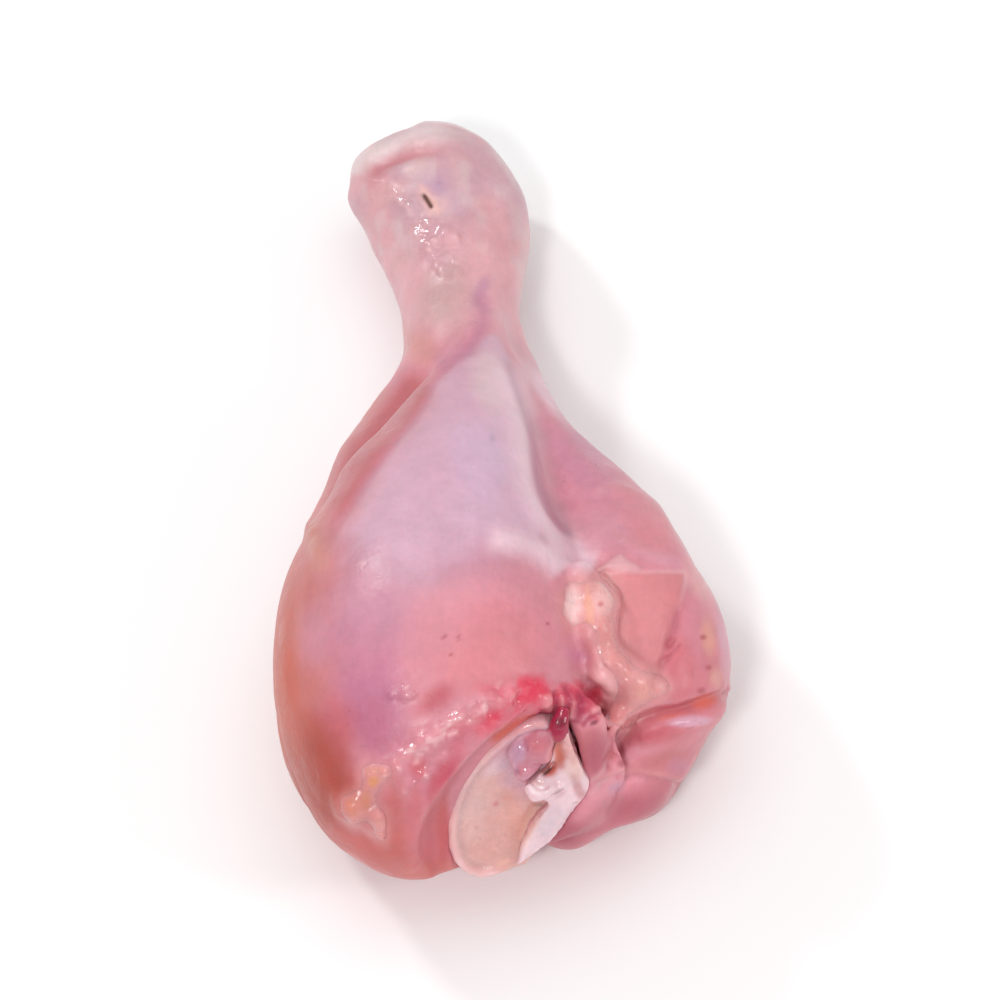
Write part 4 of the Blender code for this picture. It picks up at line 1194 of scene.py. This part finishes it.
# The fat's lobes: a, b, size, height. Then their washes.
FLANK_LOBES = [
    (12.8, -16.2, 1.9, 0.35), (9.6, -17, 1.8, 0.3), (13.6, -20.6, 1.5, 0.25), (14.6, -24.6, 1.6, 0.3),
    (17.4, -27.6, 2.2, 0.4), (20.4, -27.8, 1.2, 0.45), (15.2, -32.2, 1.2, 0.6), (16.6, -30, 1.6, 0.35)]
FLANK_WASHES = [
    ((236, 184, 182), 13.4, -15.8, 2.4, 3.2, 0, 0.9),
    ((240, 196, 196), 8.8, -17, 1.9, 3.2, 0, 0.95),
    (FAT_YELLOW, 11.2, -17.2, 0.7, 3.2, 3, 0.7),
    ((216, 146, 144), 13.4, -22.6, 2.2, 3.8, -12, 0.85),
    ((226, 158, 158), 18, -27, 2.6, 1.8, -20, 0.6),
    ((226, 158, 148), 18.4, -28.6, 1.3, 1.8, 0, 0.5),
    (FAT_PALE, 20.8, -27.8, 1.1, 1.3, 0, 0.6),
    ((215, 138, 140), 15.2, -31.4, 1.6, 2, 0, 0.7),
    ((226, 164, 162), 15.2, -32.8, 1.4, 0.5, 0, 0.7),
    ((205, 110, 112), 12.8, -17, 0.45, 0.4, 0, 0.8),
    ((216, 136, 146), 15.2, -28.4, 0.8, 1.6, 0, 0.6)]
BELLY_LOBES = [
    (-17.6, -38.8, 1.4, 0.35), (-15.6, -39.2, 0.9, 0.3), (-20.2, -43.8, 1.7, 0.6), (-16.5, -45.2, 1.2, 0.7),
    (-16.2, -47.4, 1, 0.4), (-17.6, -41.2, 1.1, 0.3)]
BELLY_WASHES = [
    ((212, 134, 116), -20.3, -43.8, 2, 2.4, 0, 0.85),
    ((220, 150, 132), -17.4, -38.6, 2.4, 1, 0, 0.8),
    ((216, 148, 96), -17.2, -40.5, 1.1, 1.1, 0, 0.8),
    ((208, 130, 92), -18.2, -43, 0.9, 1.8, 0, 0.6),
    ((220, 152, 148), -16.4, -46.6, 1.3, 2.4, -10, 0.8),
    # painted highlight: a small pale fleck on the fat's upper right
    ((240, 190, 180), -15.6, -39.7, 0.5, 0.4, 0, 0.7)]

# The gristle's colours, and the rolled lump on it.
GRISTLE_WASHES = [
    (BLUE_GRISTLE, 6.2, -45.8, 1.6, 3.6, -34, 0.7),
    (CREAM_GRISTLE, 3.3, -47.4, 0.8, 4, -28, 0.75),
    ((230, 190, 182), 9.4, -38.8, 1.4, 2, 15, 0.8),
    ((222, 164, 162), 8.8, -35.8, 1.3, 2.4, 20, 0.85),
    ((221, 176, 184), 9, -44.6, 0.7, 3.4, -34, 0.7),
    ((240, 222, 226), 4.2, -41.4, 1.6, 1, 0, 0.8),
    ((216, 160, 164), 12.6, -40.4, 2.4, 1.4, 20, 0.6),
    (RUST, 7.3, -36.9, 1.1, 2.2, 6, 0.9),
    (RUST, 6.2, -38.9, 1.5, 1.1, 42, 0.9),
    ((224, 176, 172), 4.4, -40.6, 1.2, 0.8, 0, 0.6),
    ((200, 146, 151), 9.9, -41.4, 1, 2, 20, 0.85),
    # painted shade in the gap between the ligament and the gristle's lump
    (SLIT_SHADE, 5.75, -39.1, 1, 0.3, 42, 0.95),
    # painted shade in the cut across the gristle
    (CREVICE_SHADE, 7.2, -41.7, 0.9, 0.25, 30, 0.8)]
GRISTLE_LUMP = [
    (3, -40.6, 0.4, 0.5, 0.4), (4, -41.6, 0.9, 0.9, 0.7), (5.2, -41.6, 1, 0.7, 0.5),
    (6.4, -40.8, 0.9, 0.4, 0.3)]

# The ligament's lobes, creases and colours, and the clot that hangs over it.
LIGAMENT_LOBES = [
    (4.7, -35.7, 2, 0.85), (2.4, -37.2, 1.3, 0.25), (3.5, -38.9, 1.1, 0.4), (2.6, -39.9, 0.9, 0.2),
    (5.6, -37.2, 1, 0.3)]
LIGAMENT_CREASES = [
    ([(2.6, -34.8), (2.9, -36.6), (2.7, -38.4)], 0.14), ([(5.9, -38.4), (4.4, -38), (3, -38.2)], 0.2)]
LIGAMENT_WASHES = [
    (LIGAMENT_BLUE, 1.8, -36.6, 1.5, 2.6, -15, 0.8),
    ((214, 144, 162), 3, -39.2, 1.5, 1.3, 0, 0.8),
    ((200, 112, 121), 4.8, -35.6, 1.6, 1.3, 20, 0.7),
    ((212, 176, 196), 0.8, -36.6, 0.9, 1.8, -20, 0.8),
    ((222, 148, 152), 6.2, -37.2, 0.7, 1.4, -10, 0.7),
    ((160, 96, 134), 1.7, -39.2, 0.4, 0.8, 0, 0.7),
    ((216, 150, 152), 6.6, -35.2, 0.35, 1.2, 0, 0.6),
    (BLOOD_DEEP, 5.9, -33.2, 1, 0.6, 0, 0.5)]
CLOT_STRAND = [
    (6.9, -35, -0.4, 0.8, 0.6), (7, -34.2, -0.1, 1.3, 0.9), (7.3, -33.2, -0.2, 1.3, 0.9),
    (7.7, -32.2, -0.5, 1, 0.7), (8, -31.2, -1, 0.6, 0.5)]

# The gristle's torn outline.
GRISTLE_OUTLINE = [
    (8.6, -33.4), (9.3, -35.2), (10.2, -37.4), (11.2, -39.4), (11.7, -41), (10.6, -43), (9, -45.2),
    (7.6, -47.2), (5.6, -49.3), (3.4, -50.9), (1.3, -51.9), (1.5, -50.2), (2, -48.4), (3, -46.4),
    (4.3, -44.7), (5.4, -43.6), (4.4, -43.4), (3.2, -42.9), (2.5, -41.8), (2.8, -40.6), (4.2, -39.6),
    (5.4, -38.4), (6, -36.8), (6.6, -35), (7.6, -33.6)]

# Folds and cuts in the gristle: the line, its half width and how high it stands.
GRISTLE_FOLDS = [
    (((5.2, -44.4), (3.9, -46.4), (2.7, -48.8), (2.2, -50.8)), 0.6, 0.4),
    (((11.2, -41.4), (9.8, -43.6), (8, -46.2), (6.2, -48.2)), 0.45, 0.3),
    (((8.6, -38), (9.8, -40), (10.2, -42)), 0.8, 0.3),
    (((3.6, -41.4), (4.8, -41.8), (6, -41.2), (7.4, -40.6)), 0.8, 0.55),
    (((8.4, -41.4), (7.4, -43.2), (6.2, -45.4)), 0.8, 0.3),
    (((8.6, -34), (9.2, -36.4), (10.2, -38.6)), 0.5, 0.3),
    (((6.5, -42.1), (7.2, -41.8), (7.9, -41.3)), 0.28, -0.5),
    (((7, -44.4), (5.8, -46.8), (4.4, -49)), 0.5, -0.25),
    (((9.6, -43.2), (8.2, -45.4), (7, -47)), 0.3, -0.35),
    (((7.3, -35.4), (7.3, -37), (6.8, -38.2)), 0.8, -0.55),
    (((6.5, -38.4), (5.9, -39), (5.1, -39.7)), 0.3, -0.6)]


def make_bone():
    """The bone: its plate shows at the knee, and the rest stays inside the flesh."""
    skin = Skin("leg_bone", [grown(NODES["bone"].data, 0.15)], BONE_VOXEL)
    skin.relax(12)
    knee = skin.p[:, 1] < KNEE_STARTS
    hold_back(skin, LOW_OUTLINE, 0.3, knee)
    skin.look()
    plate = skin.region(*PLATE_OUTLINE)
    near_face = soft((skin.p - FACE_MIDDLE) @ FACE_OUT, -9, -5)
    beyond = knee * soft(-plate, 0, 1.2) * near_face
    skin.p -= FACE_OUT * (5.2 * beyond)[:, None]
    ankle = soft(skin.p[:, 1], 38, 50)
    skin.p += (HOCK_CORE - skin.p) * (0.3 * ankle)[:, None]
    out_of_face = (skin.p - FACE_MIDDLE) @ FACE_OUT
    face = soft(out_of_face, -3.4, -1.4) * knee * skin.facing
    rim = skin.stroke(*RIM_LINE)
    slit = skin.stroke(*PLATE_SLIT)
    left_rim = soft(rim.along, 0.2, 0.42)
    lift = 0.25 * rim.band(0.6, 0.05, 0.1) * (0.3 + 0.7 * left_rim)
    lift -= 0.25 * rim.band(0.6, 0.05, 0.1, offset=-1.3) * left_rim
    lift -= 0.3 * slit.band(0.7, 0.1, 0.2)
    lift -= 1.0 * skin.spot(7.2, -34.0, 1.2, 1.6)
    skin.push(face * lift + 0.07 * noise(skin.p, 2.5, 21) + 0.03 * noise(skin.p, 1.1, 22))
    skin.relax(1, keep_volume=False)
    skin.look()

    cloud = 0.2 * noise(skin.p, 2.6, 23) + 0.12 * noise(skin.p, 1.1, 24)
    skin.paint(PLATE, np.ones(len(skin.p)))
    skin.wash(PLATE_WASHES, cloud, face)
    stump = skin.region(*LIGAMENT)
    skin.paint(STUMP_EDGE, 0.8 * face * soft(stump + 3 * cloud, -2.6, 0.2))
    # painted shade in the crevice just inside the plate's left rim
    skin.paint(CREVICE_SHADE, 0.3 * face * rim.band(0.5, 0.1, 0.1, offset=-1.2) * left_rim)
    skin.paint(RIM_PEACH, 0.6 * rim.band(0.35, 0.05, 0.0) * (1 - left_rim) * knee)
    skin.paint(RIM_SHADE, 0.85 * rim.band(0.8, 0.05, 0.0, offset=-1.05) * (1 - left_rim) * face)
    # painted highlight along the plate's raised left rim, over its pale edge
    skin.paint(PLATE_RIM_HIGHLIGHT, 0.95 * rim.band(0.6, 0.02, 0.05) * left_rim * knee)
    skin.paint(TISSUE_MAUVE, knee * soft(-plate, 0.1, 1.0) * near_face)
    ankle = soft(skin.p[:, 1], 30, 50)
    skin.paint(CAP, ankle)
    skin.paint(BLUE_GRISTLE, 0.5 * ankle * soft(noise(skin.p, 4.0, 25), -0.2, 0.7))
    skin.wet = 0.2 + 0.3 * soft(noise(skin.p, 2.0, 26), 0.2, 0.8) + 0.4 * rim.band(0.8)
    return skin


def make_fat(name, ground, outline, lobes, thick, washes):
    """A low, soft pad: it swells from its edge, higher where its lobes are, over the flesh's own colour."""
    def rise(depth, a, b):
        places = np.column_stack([a, b, a * 0])
        height = thick * (1 - np.exp(-np.maximum(depth, 0) / 2.0))
        for lobe_a, lobe_b, size, high in lobes:
            distance = np.hypot(a - lobe_a, b - lobe_b) / size
            height += high * np.exp(-distance ** 2) * soft(depth, 0, 1.0)
        return height - 0.3 + 0.14 * noise(places, 1.7, 31) * soft(depth, 0, 1.2)

    skin = Skin(name, [film(ground, outline, rise, 0.9)])
    skin.relax(2, keep_volume=False)
    skin.look()
    p = skin.p
    skin.push(0.05 * noise(p, 1.3, 32))
    depth = depth_inside(skin.drawn, closed_line(outline))
    skin.tint = ground.tint_at(p)
    skin.paint(FAT_PINK, 0.85 * soft(depth + 0.6 * noise(p, 1.6, 33), 0.4, 2.2))
    cloud = 0.25 * noise(p, 2.6, 34)
    skin.wash(washes, cloud, soft(depth, 0.6, 1.8), 0.2)
    skin.wet = 0.25 + 0.5 * soft(noise(p, 2.0, 36), 0.1, 0.8)
    return skin


def make_knee_gristle():
    """The meniscus, torn open where the joint was cut: a white sheet with folds, lumps and strands."""
    def rise(depth, a, b):
        places = np.column_stack([a, b])
        height = 0.75 * (1 - np.exp(-np.maximum(depth, 0) / 0.9)) - 0.2
        height += 0.16 * noise(np.column_stack([a, b, a * 0]), 1.3, 40)
        for knots, width, high in GRISTLE_FOLDS:
            distance = measure(places, open_line(knots))[0]
            height += high * np.exp(-(distance / width) ** 2)
        return height

    plane = KneeFace()
    meshes = [film(plane, GRISTLE_OUTLINE, rise, 2.2, 0.22)]
    meshes.append(strand(plane, *GRISTLE_LUMP))
    skin = Skin("knee_gristle", meshes, GRISTLE_VOXEL)
    skin.relax(8)
    skin.look()
    p = skin.p
    skin.push(0.1 * noise(p, 1.5, 41) + 0.05 * noise(p, 0.7, 42))
    cloud = 0.25 * noise(p, 1.8, 43) + 0.15 * noise(p, 0.8, 44)
    skin.paint(WHITE_GRISTLE, np.ones(len(p)))
    skin.wash(GRISTLE_WASHES, cloud)
    skin.paint(GRISTLE_FOOT, 0.8 * soft(-((p - FACE_MIDDLE) @ FACE_OUT), 0.1, 1.2))
    skin.wet = 0.4 + 0.5 * soft(noise(p, 1.5, 45), -0.1, 0.6)
    return skin


def make_ligament():
    """The stump of the cruciate ligament, cut off in rounded lobes."""
    def rise(depth, a, b):
        height = 0.8 * (1 - np.exp(-np.maximum(depth, 0) / 1.4)) - 0.25
        for lobe_a, lobe_b, size, high in LIGAMENT_LOBES:
            spread = ((a - lobe_a) ** 2 + (b - lobe_b) ** 2) / size ** 2
            height += high * np.exp(-spread) * soft(depth, 0, 0.7)
        places = np.column_stack([a, b])
        for knots, deep in LIGAMENT_CREASES:
            height -= deep * np.exp(-(measure(places, open_line(knots))[0] / 0.4) ** 2)
        return height + 0.1 * noise(np.column_stack([a, b, a * 0]), 1.1, 50)

    clot = strand(KneeFace(), *CLOT_STRAND)
    skin = Skin("knee_ligament", [film(KneeFace(), LIGAMENT, rise, 1.0, 0.2), clot], GRISTLE_VOXEL)
    skin.relax(14)
    skin.look()
    p = skin.p
    skin.push(0.12 * noise(p, 1.3, 51) + 0.05 * noise(p, 0.6, 52))
    cloud = 0.25 * noise(p, 1.6, 53) + 0.15 * noise(p, 0.7, 54)
    skin.paint(LIGAMENT_PINK, np.ones(len(p)))
    inside = depth_inside(skin.drawn, closed_line(LIGAMENT))
    skin.wash(LIGAMENT_WASHES, cloud)
    skin.paint(STUMP_EDGE, (1 - soft(inside + 2 * cloud, 0.2, 1.3)) * (1 - soft(skin.drawn[:, 0], 2.6, 4.6)))
    a, b = skin.drawn.T
    skin.paint(CLOT_RED, soft(a + 0.35 * b + 0.3 * cloud, -6.1, -5.5) * soft(b, -35.6, -35.0))
    skin.paint(CLOT, 0.9 * skin.spot(7.5, -32.7, 1.1, 0.9))
    skin.wet = 0.5 + 0.3 * soft(noise(p, 1.4, 55), 0, 0.7)
    return skin


flesh = make_flesh()
ground = Ground(flesh)
make_bone().finish(GRISTLE, "bone", "bone")
flank_fat = make_fat("flank_fat", ground, FLANK_FAT, FLANK_LOBES, 0.55, FLANK_WASHES)
flank_fat.finish(FAT, "fat", "fat_flank")
belly_fat = make_fat("belly_fat", ground, BELLY_FAT, BELLY_LOBES, 0.8, BELLY_WASHES)
belly_fat.wet += 1.2 * belly_fat.spot(-16.4, -45.4, 1.6, 1.8)
belly_fat.finish(FAT, "fat", "fat_belly")
make_knee_gristle().finish(GRISTLE, "gristle", "meniscus")
make_ligament().finish(GRISTLE, "ligament", "ligament")
flesh.finish(FLESH, "meat", "meat")


# ------------------------------------------------------------------ stage, light and camera

# Each light: name, place in metres, size in metres, watts.
LIGHTS = [("overhead", (0.0, 0.1, 1.0), 0.9, 2.7), ("back_window", (-0.47, 0.33, 0.55), 0.1, 1.4),
          ("front_window", (-0.14, -0.48, 0.62), 0.1, 1.75), ("right_window", (0.5, -0.22, 0.4), 0.12, 0.75)]
LIT_PLACE = (0, 0, 0.02)
SKY_STRENGTH = 0.465
PIXELS_PER_MM = 7.58
SENSOR_MM = 36
FLOOR_METRES, FLOOR_DROP = 6, 0.0001
PALE = (0.96, 0.96, 0.96, 1)


def make_stage():
    bpy.ops.mesh.primitive_plane_add(size=FLOOR_METRES, location=(0, 0, -FLOOR_DROP))
    floor = bpy.context.object
    floor.name = "floor"
    material = bpy.data.materials.new("pale_floor")
    material.use_nodes = True
    shader = material.node_tree.nodes["Principled BSDF"]
    shader.inputs["Base Color"].default_value = PALE
    shader.inputs["Roughness"].default_value = 0.7
    shader.inputs["Specular IOR Level"].default_value = 0.1
    floor.data.materials.append(material)


def aim(obj, location, target):
    obj.location = location
    obj.rotation_mode = "QUATERNION"
    obj.rotation_quaternion = (Vector(target) - Vector(location)).to_track_quat("-Z", "Y")
    bpy.context.scene.collection.objects.link(obj)


def area_light(name, location, size, watts):
    light = bpy.data.lights.new(name, "AREA")
    light.size = size
    light.energy = watts
    aim(bpy.data.objects.new(name, light), location, LIT_PLACE)


def make_light():
    world = bpy.data.worlds.new("studio")
    bpy.context.scene.world = world
    world.use_nodes = True
    background = world.node_tree.nodes["Background"]
    background.inputs["Color"].default_value = (1, 1, 1, 1)
    background.inputs["Strength"].default_value = SKY_STRENGTH
    for light in LIGHTS:
        area_light(*light)


def make_camera():
    camera = bpy.data.cameras.new("camera")
    camera.sensor_width = SENSOR_MM
    camera.lens = PIXELS_PER_MM * SENSOR_MM * EYE_DISTANCE * MM
    camera.clip_start = 0.01
    obj = bpy.data.objects.new("camera", camera)
    aim(obj, EYE * MM, TARGET * MM)
    bpy.context.scene.camera = obj


make_stage()
make_light()
make_camera()
bpy.context.scene.view_settings.view_transform = "Standard"
